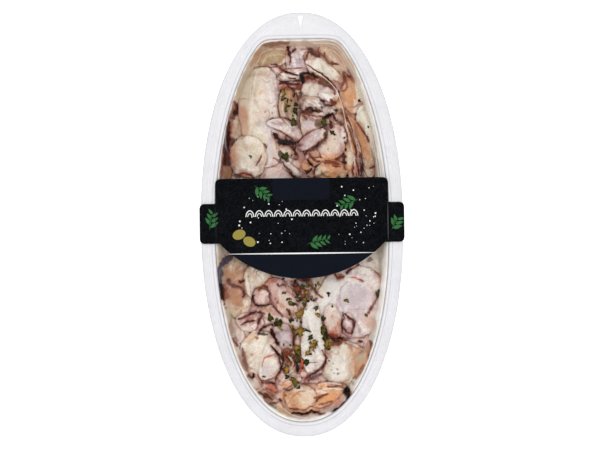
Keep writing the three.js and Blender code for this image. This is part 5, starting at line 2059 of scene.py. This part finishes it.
@dataclass
class Painter:
    """Paints the slices' colours and folds by their place in the tray."""

    furrow: float = 0.35
    ridge: float = 0.2
    calm: tuple[tuple[Point, Point], ...] = (
        ((-32, 70), (13, 46)), ((28, -48), (22, 15)), ((-44, -52), (10, 34)), ((6, -78), (7, 20)),
        ((19, 52), (8, 9)), ((-27, -84), (9, 14)), ((26, -90), (11, 11)), ((-23, 61), (6, 7)),
        ((-14, 73), (4, 9)), ((15, 99), (8, 8)), ((8, 86), (7, 5)), ((42, 52), (6, 22)),
        ((-15, 34), (9, 5)), ((42, -26), (8, 6)), ((-41, -71), (6, 8)), ((14, -112), (10, 5)),
    )

    def distances(self, x: Array, y: Array) -> list[Array]:
        """How far every point is from each stroke, in half widths of the stroke."""
        return [stroke.distance(x, y) for stroke in STROKES]

    def relief(self, far: list[Array]) -> Array:
        """Height in millimetres that the strokes add: dark ones are furrows, pale ones ridges.

        Args:
            far: Distances from the strokes.

        Returns:
            The heights to add.
        """
        raised = np.zeros(far[0].shape)
        for stroke, distance in zip(STROKES, far):
            if stroke.tone in DARK_TONES:
                raised -= self.furrow * stroke.strength * (1 - smooth(0.3, 1.8, distance))
            elif stroke.tone in PALE_TONES:
                raised += self.ridge * stroke.strength * (1 - smooth(0.3, 1.6, distance))
        return np.clip(raised, -2 * self.furrow, 2 * self.ridge)

    def tissue(self, piece: Slice, x: Array, y: Array, reach: Array) -> Array:
        """Colours of a slice before its marks: clouds, streaks, specks, wrinkles and a cut edge.

        Wrinkles are the lines where a stretched noise crosses zero. Toward the rim the colours
        run into those of the ground.

        Args:
            piece: The slice.
            x: Across the tray, on the slice's grid.
            y: Along the tray.
            reach: Distance of each point from the slice's edge.

        Returns:
            Linear colours on the grid.
        """
        _, base, second, deep = piece.look.flesh.value
        seed = 11 * piece.seed
        lively = self.lively(x, y)
        strong = 0.4 + 0.6 * lively
        lean = TURN * draw(piece.seed, 31)
        u = x * math.cos(lean) + y * math.sin(lean) + 1.2 * fractal(x, y, 6, seed + 2)
        v = y * math.cos(lean) - x * math.sin(lean) + 1.2 * fractal(x, y, 6, seed + 6)
        streak = fractal(u / 3.2, v, 1.9, seed + 3)
        fold = np.abs(fractal(u / 2.4, v, 4.2, seed + 5, 2))
        hair = 1 - smooth(0.015, 0.06, np.abs(fractal(u / 3, v, 3.2, seed + 12)))
        hair *= smooth(-0.1, 0.4, noise(x, y, 5, seed + 13)) * lively
        cloud = smooth(-0.5, 0.6, fractal(x, y, 8, seed))
        colour = self.layered(
            self.tinted(piece, mixed(base.linear(), second.linear(), cloud)),
            (Tone.TAN, 0.22 * smooth(-0.2, 0.9, fractal(x, y, 11, 17))),
            (deep, 0.26 * strong * smooth(0.05, 0.75, streak)),
            # Painted highlight: glare on the pale side of the streaks.
            (Tone.GLARE, 0.36 * smooth(0.1, 0.7, -streak)),
            (deep, 0.18 * strong * smooth(0.1, 0.8, fractal(x, y, 3.6, seed + 7))),
            (deep, 0.4 * smooth(0.68, 0.85, noise(x, y, 0.9, seed + 4))),
            (deep, 0.28 * strong * (1 - smooth(0.02, 0.09, fold))),
            (Tone.WHITE, 0.2 * smooth(0.09, 0.16, fold) * (fold < 0.25)),
            (Tone.SKIN, 0.8 * hair),
        )
        soft = 1 - smooth(0.0, 2.2, reach + 0.8 * noise(x, y, 3, seed + 9))
        colour = mixed(colour, self.ground(x, y), 0.6 * soft)
        warm = smooth(-0.3, 0.5, fractal(x, y, 6, seed + 15)) * (1 - smooth(1.0, 5.0, reach))
        skinned = smooth(-0.1, 0.5, noise(x, y, 7, seed + 8))
        skinned *= piece.look.skin * (1 - smooth(0.15, 0.8, reach))
        return self.layered(colour, (deep, 0.45 * strong * warm), (Tone.RUST, skinned))

    def ground(self, x: Array, y: Array) -> Array:
        """Colours by place that the slices' rims run into: pale rose with mauve folds.

        Args:
            x: Across the tray.
            y: Along the tray.

        Returns:
            Linear colours.
        """
        strong = self.lively(x, y)
        return self.layered(
            np.zeros(x.shape + (3,)) + Tone.ROSE_WHITE.linear(),
            (Tone.CREAM, 0.8 * smooth(-0.3, 0.4, fractal(x, y, 7, 61))),
            (Tone.CREAM, 0.7 * (1 - strong)),
            (Tone.PINK, 0.7 * strong * smooth(-0.1, 0.6, fractal(x, y, 4, 62))),
            (Tone.MAUVE, 0.7 * strong * smooth(0.1, 0.6, fractal(x, y, 2.6, 63))),
            (Tone.RED_BROWN, 0.7 * strong * (1 - smooth(0.02, 0.14, np.abs(fractal(x, y, 5, 64))))),
        )

    def gristle(self, piece: Slice, x: Array, y: Array) -> Array:
        """Colours of the low skin slices: brown folds, painted shade in the clefts between them, and
        pale shreds.

        Args:
            piece: The slice.
            x: Across the tray.
            y: Along the tray.

        Returns:
            Linear colours.
        """
        seed = 11 * piece.seed
        wide, fine = fractal(x, y, 6, seed), fractal(x, y, 2.4, seed + 1)
        colour = self.layered(
            np.zeros(x.shape + (3,)) + Tone.BROWN.linear(),
            (Tone.RED_BROWN, 0.5 * smooth(-0.2, 0.4, wide)),
            (Tone.MAUVE, 0.7 * smooth(0.0, 0.4, fine)),
            (Tone.BEIGE, 0.8 * smooth(0.2, 0.5, fine - 0.3 * wide)),
            (Tone.CREAM, 0.9 * smooth(0.45, 0.7, fine - 0.3 * wide)),
        )
        # Painted shade: near-black lines in the clefts between the folds.
        gap_shade = 1 - smooth(0.03, 0.25, np.abs(fractal(x, y, 4.5, seed + 2)))
        return self.blend(self.tinted(piece, colour), Tone.DARK, 0.85 * gap_shade)

    def tinted(self, piece: Slice, colour: Array) -> Array:
        """Mixes a slice's tint, if it has one, into its colours."""
        if piece.look.tint is None:
            return colour
        return self.blend(colour, piece.look.tint, np.full(colour.shape[:-1], 0.5))

    def paint(self, piece: Slice, x: Array, y: Array, reach: Array, far: list[Array]) -> Array:
        """Colours of one slice.

        Args:
            piece: The slice.
            x: Across the tray, on the slice's grid.
            y: Along the tray.
            reach: Distance of each point from the slice's edge.
            far: Distances from the strokes.

        Returns:
            Linear colours on the grid.
        """
        if piece.look.name.startswith("bed_"):
            colour = self.ground(x, y)
        elif piece.look.flesh is Flesh.SKIN:
            colour = self.gristle(piece, x, y)
        else:
            colour = self.tissue(piece, x, y, reach)
        oily = (1 - smooth(3, 15, SHAPE.depth_inside(x, y))) * smooth(-60, 60, y)
        colour = self.blend(colour, Tone.TAN, 0.3 * oily)
        return self.marks(colour, x, y, far)

    def marks(self, colour: Array, x: Array, y: Array, far: list[Array]) -> Array:
        """Adds the patches and the strokes to colours.

        Dark strokes have a rusty or mauve halo, and thin ones among them come and go by place.

        Args:
            colour: Linear colours.
            x: Across the tray.
            y: Along the tray.
            far: Distances from the strokes.

        Returns:
            The colours from 0 to 1, with the marks on them.
        """
        for patch in PATCHES:
            colour = self.blend(colour, patch.tone, patch.strength * patch.mask(x, y))
        for stroke, distance in zip(STROKES, far):
            if stroke.tone in DARK_TONES:
                wide = 0.55 * stroke.strength * (1 - smooth(1, 5, distance))
                warm = stroke.tone in (Tone.BROWN, Tone.RED_BROWN)
                colour = self.darken(colour, Tone.RUST if warm else Tone.MAUVE, wide)
                close = 0.6 * stroke.strength * (1 - smooth(0.8, 2.3, distance))
                colour = self.darken(colour, Tone.RED_BROWN, close)
        faint = 0.6 + 0.4 * smooth(-0.4, 0.1, fractal(x, y, 4.5, 83))
        for stroke, distance in zip(STROKES, far):
            bold = 1.2 if stroke.tone in DARK_TONES else 1.0
            if bold > 1 and stroke.width < 2:
                bold = bold * faint
            share = bold * stroke.strength * (1 - smooth(0.72, 1.15, distance))
            colour = self.blend(colour, stroke.tone, share)
        return np.clip(colour, 0, 1)

    def crevice_shade(self, colour: Array, x: Array, y: Array, depth: Array) -> Array:
        """Paints shade, reddening and darkening colours by how deep they lie beside what is higher.

        The calm ovals keep a fifth of it, as pale slices lie flat there, and noise breaks it up.

        Args:
            colour: Linear colours.
            x: Across the tray.
            y: Along the tray.
            depth: How far each point lies below the highest one close to it.

        Returns:
            The darkened colours.
        """
        broken = 0.4 + 0.6 * smooth(-0.35, 0.25, fractal(x, y, 8, 73))
        share = (0.2 + 0.8 * self.lively(x, y)) * broken
        depth = depth + 0.5 * fractal(x, y, 2.5, 71)
        colour = self.darken(colour, Tone.MAUVE, 0.55 * share * smooth(0.4, 1.9, depth))
        colour = self.darken(colour, Tone.RED_BROWN, 0.65 * share * smooth(1.0, 2.6, depth))
        return self.darken(colour, Tone.DARK, 0.75 * share * smooth(1.8, 4.2, depth))

    def lively(self, x: Array, y: Array) -> Array:
        """0 in the calm ovals, 1 outside them.

        Args:
            x: Across the tray.
            y: Along the tray.

        Returns:
            The share for each point.
        """
        share = np.ones(x.shape)
        for at, half in self.calm:
            away = np.hypot((x - at[0]) / half[0], (y - at[1]) / half[1])
            share *= smooth(0.75, 1.15, away)
        return share

    def darken(self, colour: Array, tone: Tone, share: Array) -> Array:
        """Mixes a tone into colours where that makes them darker."""
        return np.minimum(colour, self.blend(colour, tone, share))

    def layered(self, colour: Array, *layers: tuple[Tone, Array]) -> Array:
        """Mixes tones into colours one after another, each by its share."""
        for tone, share in layers:
            colour = self.blend(colour, tone, share)
        return colour

    @staticmethod
    def blend(colour: Array, tone: Tone, share: Array) -> Array:
        """Mixes a tone into colours by a share for each point."""
        return mixed(colour, tone.linear(), np.clip(share, 0, 1))


@dataclass
class Food:
    """All the slices, and the parsley and chilli on them."""

    bed_spacing: float = 0.7
    pile: Pile = field(default_factory=Pile)

    def build(self) -> None:
        """Makes every slice from the lowest up, then what is scattered on them."""
        painter = Painter()
        finishes = {kind: FleshFinish(kind.value[0]).make() for kind in Flesh}
        slices = [Slice(look, seed) for seed, look in enumerate(LOOKS)]
        for piece in slices:
            if piece.look.name.startswith("bed_"):
                piece.spacing = self.bed_spacing
            piece.build(self.pile, painter)
        overhang = self.pile.overhang(2, 2)
        for piece in slices:
            made = piece.finish(self.pile, painter, overhang)
            slot, node = piece.look.flesh.value[0], "slice_" + piece.look.name
            hand_in(made, finishes[piece.look.flesh], slot, (node,))
        Parsley(self.pile).build()


@dataclass
class Parsley:
    """Flakes and crumbs of parsley, a few stems and a sliver of chilli, lying on the slices."""

    pile: Pile
    thickness: float = 0.16
    corners: int = 22
    first_seed: int = 100
    spread: float = 1.15
    flakes: tuple[tuple[float, float, float], ...] = (
        (-3.6, 72.7, 2.7), (-4.4, 65.2, 3.0), (-11, 85, 1.5), (14.8, 65.6, 2.6),
        (19.9, 58.3, 1.9), (-32.5, 44, 1.1), (37.6, 78.4, 1.1), (43.2, 61.6, 1),
        (-9.8, 43.5, 2.4), (10.3, -37.8, 1.5), (-12.3, -43.6, 1.6), (-3.3, -57.4, 2.8),
        (9, -53.6, 1.8), (9.5, -58.2, 1.8), (16.4, -45, 1.3), (27.8, -49.3, 1.4),
        (48.3, -44.8, 1.7), (40.6, -58.7, 1.3), (-21, -59.2, 2.4), (-15.6, -62.8, 2.6),
        (-2.8, -68, 2.9), (2.2, -67.4, 2.1), (4.4, -72.3, 2.3), (5.6, -77, 1.7),
        (2.9, -81.8, 1.4), (13, -67.5, 2.5), (15.8, -76.2, 2.7), (-3.6, -81.5, 2.0),
        (1.8, -88, 2.0), (-10.6, -92.5, 2.1), (-5.2, -101, 2.5), (-10.4, 82.4, 1.3),
        (-11.7, 79.8, 1.0), (-4, 82.5, 1.3), (-8.4, 78.6, 1.4), (-3, 76.6, 1.6),
        (-7.4, 75.7, 1.3), (7.6, 93.6, 0.8), (17.5, 90.8, 0.9), (-6, 44.3, 0.8),
        (-21, -60.2, 1.5), (-14.6, -66, 1.5), (-17, -61, 1.1), (-7.8, -61.5, 1.1), (13, -60, 1.3),
        (14, -71.5, 2.3), (16.6, -79, 1.4), (7.3, -74.8, 1.2), (3.9, -79.4, 1.2),
        (-4, -86.5, 1.3), (-4.3, -78.5, 1.7), (-7.8, -83, 1.0), (-12.5, -76.5, 0.8),
        (-13.5, -85, 1.2), (-10.8, -97.5, 1.4), (-3.6, -104, 1.1), (-6.8, -98.8, 1.5),
        (18.6, -52.5, 0.9), (-3.5, -51.8, 0.9), (0.9, -51.6, 1.3), (-10, -47.6, 0.8),
        (3.4, -39.3, 1.1), (-4.8, -36.2, 1.0), (-12.6, -34.8, 0.9), (49, -52, 0.7),
        (-8.6, -56, 1.2), (-7.6, -65, 1.0), (1.6, -48, 1.5), (2.2, -43.5, 1.7),
        (-1.8, -47.6, 1.5), (5.6, -46.5, 1.2), (4.4, -75.4, 1.1), (7.2, -78.2, 1.2),
        (6.2, -80.4, 1.0), (1.6, -83.6, 1.2), (4.6, -82.6, 0.9), (8.2, -76.4, 0.9),
    )
    gold: tuple[Point, ...] = (
        (5.6, -77), (2.9, -81.8), (3.9, -79.4), (7.3, -74.8), (-14.6, -66), (7.2, -78.2),
        (6.2, -80.4), (1.6, -83.6),
    )
    heaps: tuple[tuple[Point, Point, int, float], ...] = (
        ((-7.5, 76), (6, 10), 8, 0.9),
        ((0.5, -45), (9, 6), 16, 1.1),
        ((-6, -62), (5, 9), 10, 0.8),
        ((14, -71), (3, 8), 10, 1.2),
        ((-6, -88), (6, 12), 12, 0.8),
    )
    stems: tuple[tuple[tuple[Point, ...], float], ...] = (
        (((1.7, -88), (5, -88.3), (9.2, -88)), 0.4),
        (((-9.5, -64), (-6.4, -68), (-4.6, -73)), 0.7),
        (((11.5, -60.5), (12.7, -65), (13.2, -69)), 0.8),
    )
    chilli: tuple[Point, ...] = ((-1.7, -85.6), (-0.6, -88.6), (-0.8, -91.2), (-1.9, -94.2))

    def places(self) -> list[tuple[float, float, float, int]]:
        """Centre, radius and seed of each flake: the named ones, then the heaps' draws."""
        found = [(x, y, r, self.first_seed + i) for i, (x, y, r) in enumerate(self.flakes)]
        seed = self.first_seed + len(found)
        for at, spread, count, radius in self.heaps:
            for _ in range(count):
                x = at[0] + spread[0] * (2 * draw(seed, 11) - 1)
                y = at[1] + spread[1] * (2 * draw(seed, 12) - 1)
                found.append((x, y, radius * (0.7 + 0.6 * draw(seed, 13)), seed))
                seed += 1
        return found

    def leaf(self, x: float, y: float, radius: float, seed: int) -> tuple[Array, Array]:
        """Corners and faces of one flake: a lobed, crinkled leaf that follows the slice under it.

        Its outline is a circle with lobes, radius times (0.9 + 0.12 cos(lobes angle)) and a
        ragged noise on it, pressed narrower one way.

        Args:
            x: Centre across the tray.
            y: Centre along the tray.
            radius: Size of the flake.
            seed: Number that its draws start from.

        Returns:
            The corners and the triangles.
        """
        n = self.corners
        angle = TURN * np.arange(n) / n
        lobes = 3 + int(3 * draw(seed, 3))
        wave = 0.9 + 0.12 * np.cos(lobes * angle + TURN * draw(seed, 4))
        circle_x, circle_y = np.cos(angle), np.sin(angle)
        ragged = 0.5 * noise(circle_x, circle_y, 0.8, seed) + 0.35 * noise(circle_x, circle_y, 0.3, seed)
        reach = radius * np.maximum(wave + ragged, 0.3)
        lean = TURN * draw(seed, 6)
        narrow = 0.45 + 0.5 * draw(seed, 7)
        u, v = reach * np.cos(angle), reach * np.sin(angle) * narrow
        px = x + u * math.cos(lean) - v * math.sin(lean)
        py = y + u * math.sin(lean) + v * math.cos(lean)
        px, py = np.append(px, x), np.append(py, y)
        rest = self.pile.under(px, py) + 0.03
        rest = 0.5 * rest + 0.5 * rest.max()
        rest += 0.12 * radius * (0.5 + 0.5 * noise(px, py, 1.4, seed))
        low = np.column_stack([px, py, rest])
        high = low + [0, 0, self.thickness]
        i = np.arange(n)
        j = (i + 1) % n
        under = np.stack([np.full(n, n), j, i], -1)
        over = np.stack([i + n + 1, j + n + 1, np.full(n, 2 * n + 1)], -1)
        side = np.vstack([np.stack([i, j, j + n + 1], -1), np.stack([i, j + n + 1, i + n + 1], -1)])
        return np.vstack([low, high]), np.vstack([under, over, side])

    def sliver(
        self, name: str, points: tuple[Point, ...], width: float, height: float, tone: Tone
    ) -> Piece:
        """A thin strip along a curve that lies on the pile, with a half round section.

        Args:
            name: Name of the object.
            points: A few plan points that the strip goes through.
            width: Width in the middle; the ends are half as wide.
            height: Height in the middle.
            tone: Its colour.

        Returns:
            The new object.
        """
        steps, around = 28, 10
        line, side = curve_and_side(points, steps)
        taper = 0.4 + 0.6 * np.sin(np.linspace(0.05, 0.95, steps) * math.pi)
        angle = TURN * np.arange(around) / around
        under = self.pile.under(*line.T)
        rest = np.convolve(np.pad(under, 4, mode="edge"), np.ones(9) / 9, "valid")
        rest = np.maximum(rest, under - 0.3) + 0.1
        side = np.column_stack([side, np.zeros(steps)])
        across = np.cos(angle)[None, :, None] * (width / 2 * taper)[:, None, None]
        up = np.maximum(np.sin(angle), -0.3)[None, :] * (height * taper)[:, None]
        rings = np.column_stack([line, rest])[:, None, :] + side[:, None, :] * across
        rings[:, :, 2] += up
        piece = loft(name, rings, rings[0].mean(0), rings[-1].mean(0))
        set_colours(piece, np.tile(tone.linear(), (len(piece.data.vertices), 1)))
        return piece

    def build(self) -> None:
        """Makes the parsley as one piece, then the stems and the chilli."""
        tones = (Tone.HERB_DARK, Tone.HERB, Tone.HERB_OLIVE, Tone.HERB_GOLD)
        points, faces, colours, count = [], [], [], 0
        for x, y, radius, seed in self.places():
            corners, triangles = self.leaf(x, y, radius * self.spread, seed)
            pick = Tone.HERB_GOLD if (x, y) in self.gold else tones[int(draw(seed, 8) ** 1.5 * 4)]
            shade = 0.85 + 0.35 * draw(seed, 9)
            points.append(corners)
            faces.append(triangles + count)
            middle = np.zeros(len(corners))
            middle[[self.corners, -1]] = 1
            strength = shade * (0.5 + 0.9 * middle)
            colours.append(pick.linear() * strength[:, None])
            count += len(corners)
        none = np.zeros((0, 4), int)
        piece = new_object("parsley", np.vstack(points), none, np.vstack(faces))
        set_colours(piece, np.vstack(colours))
        leaf = InkFinish("parsley_leaf", (0.25, 0.4), 0.3, 0.9).make()
        hand_in(piece, leaf, "octopus_olive")
        for i, (line, width) in enumerate(self.stems):
            stem = self.sliver(f"parsley_stem_{i}", line, width, 0.3, Tone.HERB_OLIVE)
            hand_in(stem, leaf, "octopus_olive")
        sliver = self.sliver("chilli_sliver", self.chilli, 1.7, 0.7, Tone.CHILLI)
        chilli = InkFinish("chilli_skin", (0.2, 0.35), 0.15, 0.8, 0.4).make()
        hand_in(sliver, chilli, "octopus_orange")


# ---- the label


@dataclass
class Label:
    """Dark die-cut label with side tabs, and a generic print of leaves, olives and salt."""

    low: float = 18.9
    thickness: float = 0.3
    half_width: float = 54.9
    top: float = 29.5
    corner: float = 4.0
    tab_width: float = 65.0
    tab_top: float = 13.7
    tab_bottom: float = -11.7
    tab_corner: float = 3.5
    arc_width: float = 52.4
    arc_radius: float = 72.0
    rule_y: float = -18.2
    head_panel: tuple[float, float, float, float] = (-18.4, 17.8, 15.6, 29.4)
    head_corner: float = 3.0
    arch_y: float = 5.2
    grains: int = 64
    ink: float = 0.02
    fold: float = 54.6

    def arc(self, shrink: float = 0.0, count: int = 60, top: float | None = None) -> Array:
        """Points along the lower edge's circle, from left to right.

        Args:
            shrink: How far inside the edge they run.
            count: Number of points.
            top: Height along the tray where the arc starts and ends, or None for the edge's own.

        Returns:
            Plan points as rows.
        """
        middle = self.tab_bottom + math.sqrt(self.arc_radius**2 - self.arc_width**2)
        radius = self.arc_radius - shrink
        start = self.tab_bottom if top is None else top
        spread = math.acos((middle - start) / radius)
        angle = -math.pi / 2 + np.linspace(-spread, spread, count)
        return np.column_stack([radius * np.cos(angle), middle + radius * np.sin(angle)])

    @staticmethod
    def bend(x: float, y: float, radius: float, before: Point, after: Point) -> Array:
        """Rounded corner: a quadratic curve from radius before it to radius after it.

        Args:
            x: The corner, across the label.
            y: The corner, along it.
            radius: How far from the corner the curve starts and ends.
            before: Direction to where it starts.
            after: Direction to where it ends.

        Returns:
            The curve's points, as rows.
        """
        share = np.linspace(0, 1, 8)[:, None]
        corner = np.array([x, y])
        start, end = corner + radius * np.array(before), corner + radius * np.array(after)
        return start * (1 - share) ** 2 + 2 * corner * share * (1 - share) + end * share**2

    def outline(self) -> Array:
        """Closed counterclockwise outline of the label."""
        w, tab = self.half_width, self.tab_width
        up, down, left, right = (0, 1), (0, -1), (-1, 0), (1, 0)
        parts = [
            self.arc(),
            self.bend(tab, self.tab_bottom, self.tab_corner, left, up),
            self.bend(tab, self.tab_top, self.tab_corner, down, left),
            np.array([[w, self.tab_top]]),
            self.bend(w, self.top, self.corner, down, left),
            self.bend(-w, self.top, self.corner, right, down),
            np.array([[-w, self.tab_top]]),
            self.bend(-tab, self.tab_top, self.tab_corner, right, down),
            self.bend(-tab, self.tab_bottom, self.tab_corner, up, right),
        ]
        return np.vstack(parts)

    def leaves(self) -> list[Array]:
        """Outlines of sprigs of pointed leaves."""
        sprigs = [
            ((-30, 25), -40, 13, 7),
            ((36, 16), 200, 14, 7),
            ((-58.5, -3), 80, 12, 6),
            ((3, -12.5), 12, 15, 8),
            ((57, -4), 60, 9, 5),
        ]
        outlines = []
        for at, turn, length, count in sprigs:
            lean = math.radians(turn)
            along = np.array([math.cos(lean), math.sin(lean)])
            side = np.array([-along[1], along[0]])
            start = np.array(at)
            stem = [start, start + along * length / 2 + side * 0.8, start + along * length]
            outlines.append(ribbon(stem, 0.45, 10))
            for k in range(count):
                foot = start + along * length * (0.15 + 0.85 * k / count)
                way = along * 0.75 + side * (0.8 if k % 2 else -0.8)
                size = 5.6 - 0.35 * k
                tip = foot + way * size
                outlines.append(self.blade(foot, tip, size * 0.42))
        return outlines

    @staticmethod
    def blade(foot: Array, tip: Array, width: float, steps: int = 12) -> Array:
        """Outline of a pointed leaf from its foot to its tip, its half width a sine.

        Args:
            foot: Plan point where it starts.
            tip: Plan point where it ends.
            width: Its greatest width.
            steps: Points along it.

        Returns:
            The closed outline.
        """
        share = np.linspace(0, 1, steps)
        line = foot + (tip - foot) * share[:, None]
        along = (tip - foot) / np.linalg.norm(tip - foot)
        side = np.array([-along[1], along[0]])
        half = width / 2 * np.sin(math.pi * share**0.8)[:, None]
        return np.vstack([line - side * half, (line + side * half)[::-1][1:-1]])

    def panel(self) -> Array:
        """Outline of the plain panel at the middle of the upper edge."""
        left, right, low, high = self.head_panel
        lower_left = self.bend(left, low, self.head_corner, (0, 1), (1, 0))
        lower_right = self.bend(right, low, self.head_corner, (-1, 0), (0, 1))
        return np.vstack([[[right, high], [left, high]], lower_left, lower_right])

    def salt(self) -> list[Array]:
        """Small uneven grains, scattered in two drifts."""
        grains = []
        for i in range(self.grains):
            drift = i % 2
            along = draw(i, 21)
            x = -44 + 40 * along if drift else 22 + 27 * along
            y = (-12 + 30 * draw(i, 22)) if drift else (-13 + 39 * draw(i, 22))
            size = 0.25 + 0.55 * draw(i, 23) ** 2
            angle = TURN * np.arange(6) / 6 + draw(i, 24)
            reach = size * (0.8 + 0.2 * np.sin(3 * angle + i))
            grains.append(np.column_stack([x + reach * np.cos(angle), y + reach * np.sin(angle)]))
        return grains

    @staticmethod
    def oval(at: Point, half: Point, turn: float, steps: int = 32) -> Array:
        """Outline of an oval.

        Args:
            at: Its middle.
            half: Its half widths.
            turn: How far it is turned, in degrees.
            steps: Number of points.

        Returns:
            The closed outline.
        """
        angle = TURN * np.arange(steps) / steps
        lean = math.radians(turn)
        u, v = half[0] * np.cos(angle), half[1] * np.sin(angle)
        x = at[0] + u * math.cos(lean) - v * math.sin(lean)
        return np.column_stack([x, at[1] + u * math.sin(lean) + v * math.cos(lean)])

    def waves(self) -> list[Array]:
        """A row of double arches across the label, as a border ornament."""
        arch = ((-1, 0), (-0.7, 1), (0, 1.5), (0.7, 1), (1, 0))
        outlines = []
        for size, width in ((2.6, 0.55), (1.4, 0.45)):
            for x in range(-33, 34, 6):
                points = [(x + size * across, self.arch_y + size * up) for across, up in arch]
                outlines.append(ribbon(points, width, 16, False))
        return outlines

    def print_on(self, name: str, outlines: list[Array], tone: Array, level: int = 1) -> None:
        """Prints outlines in one colour on the label.

        Args:
            name: Name of the piece.
            outlines: Closed outlines in plan.
            tone: Linear colour.
            level: How many layers of ink up it lies.
        """
        high = self.low + self.thickness
        piece = prisms(name, outlines, high - 0.05, high + self.ink * level)
        set_colours(piece, np.tile(tone, (len(piece.data.vertices), 1)))
        hand_in(piece, InkFinish(name).make(), "label_paper")

    def build(self) -> None:
        """Makes the card and everything printed on it."""
        card = prisms("label_card", [self.outline()], self.low, self.low + self.thickness)
        slate = PaperFinish("label_slate", (2, 3, 5), (20, 22, 26)).make()
        hand_in(card, slate, "label_paper", ("label",))
        navy, white = to_linear((9, 14, 25)), to_linear((236, 236, 234))
        green, olive = to_linear((52, 104, 58)), to_linear((146, 134, 66))
        rule = [(-47, self.rule_y - 0.1), (47, self.rule_y - 0.1)]
        olives = [self.oval((-40, -6), (4.2, 3.1), 20), self.oval((-33.5, -10.5), (4, 3), -25)]
        self.print_on("label_foot_field", [self.arc(0.05, 60, self.rule_y)], navy)
        self.print_on("label_head_field", [self.panel()], navy)
        self.print_on("label_rule", [ribbon(rule, 0.9, 16)], white, 2)
        self.print_on("label_leaves", self.leaves(), green)
        self.print_on("label_salt", self.salt(), white, 2)
        self.print_on("label_waves", self.waves(), white, 2)
        self.print_on("label_olives", olives, olive, 3)
        # The fold lines are painted highlights where the real label bends: faint on the left, brighter
        # on the right.
        for name, x, grey in (("left", -self.fold, 34), ("right", self.fold, 78)):
            line = ribbon([(x, self.tab_bottom + 1), (x, self.tab_top)], 0.5, 8)
            self.print_on("label_fold_" + name, [line], to_linear((grey,) * 3), 4)


# ---- camera, light and floor


@dataclass
class Studio:
    """Camera straight above, soft light and a pale floor."""

    picture_width: int = 600
    scale: float = 0.635
    centre: Point = (-1.27, -0.32)
    distance: float = 1500.0
    focus_height: float = 18.0
    roll: float = -0.0118
    sensor: float = 36.0

    def camera(self) -> None:
        """Makes the camera: its lens takes in the picture's width at the flange's height."""
        data = bpy.data.cameras.new("camera")
        data.sensor_width = self.sensor
        data.lens = self.sensor * self.distance / (self.picture_width * self.scale)
        data.clip_end = 10
        made = in_scene("camera", data)
        at = (*self.centre, self.focus_height + self.distance)
        made.location = [value * MM for value in at]
        made.rotation_euler = (0, 0, self.roll)
        bpy.context.scene.camera = made

    @staticmethod
    def lamp(name: str, at: tuple[float, float, float], size: float, power: float) -> None:
        """Adds a square area light that looks at the pack.

        Args:
            name: The lamp's name.
            at: Its place in metres.
            size: Its side in metres.
            power: Its power in watts.
        """
        data = bpy.data.lights.new(name, "AREA")
        data.shape = "SQUARE"
        data.size = size
        data.energy = power
        made = in_scene(name, data)
        made.location = at
        made.rotation_euler = (-Vector(at)).to_track_quat("-Z", "Y").to_euler()

    @staticmethod
    def floor() -> None:
        """Makes the pale floor."""
        corners = np.array([[-3, -3, 0], [3, -3, 0], [3, 3, 0], [-3, 3, 0.0]]) / MM
        made = new_object("floor", corners, np.array([[0, 1, 2, 3]]), np.zeros((0, 3), int))
        shader = Shader("floor")
        shader.set(
            Base_Color=(0.9, 0.9, 0.9, 1),
            Roughness=0.8,
            Emission_Color=(1, 1, 1, 1),
            Emission_Strength=0.5,
        )
        dress(made, shader.material)

    def build(self) -> None:
        """Makes camera, lamps, sky and floor."""
        self.camera()
        self.lamp("key", (-0.45, 0.4, 1.4), 1.2, 9)
        self.lamp("fill", (0.6, -0.4, 1.35), 1.2, 7)
        world = bpy.data.worlds.new("sky")
        world.use_nodes = True
        background = world.node_tree.nodes["Background"]
        background.inputs["Color"].default_value = (1, 1, 1, 1)
        background.inputs["Strength"].default_value = 0.64
        bpy.context.scene.world = world
        bpy.context.scene.view_settings.view_transform = "Standard"
        self.floor()


# ---- the pack


def main() -> None:
    """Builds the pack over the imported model."""
    logging.basicConfig(level=logging.INFO, format="%(message)s")
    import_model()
    Studio().build()
    Tray().build()
    Marinade().build()
    Food().build()
    Film().build()
    Label().build()


if __name__ == "__main__":
    main()
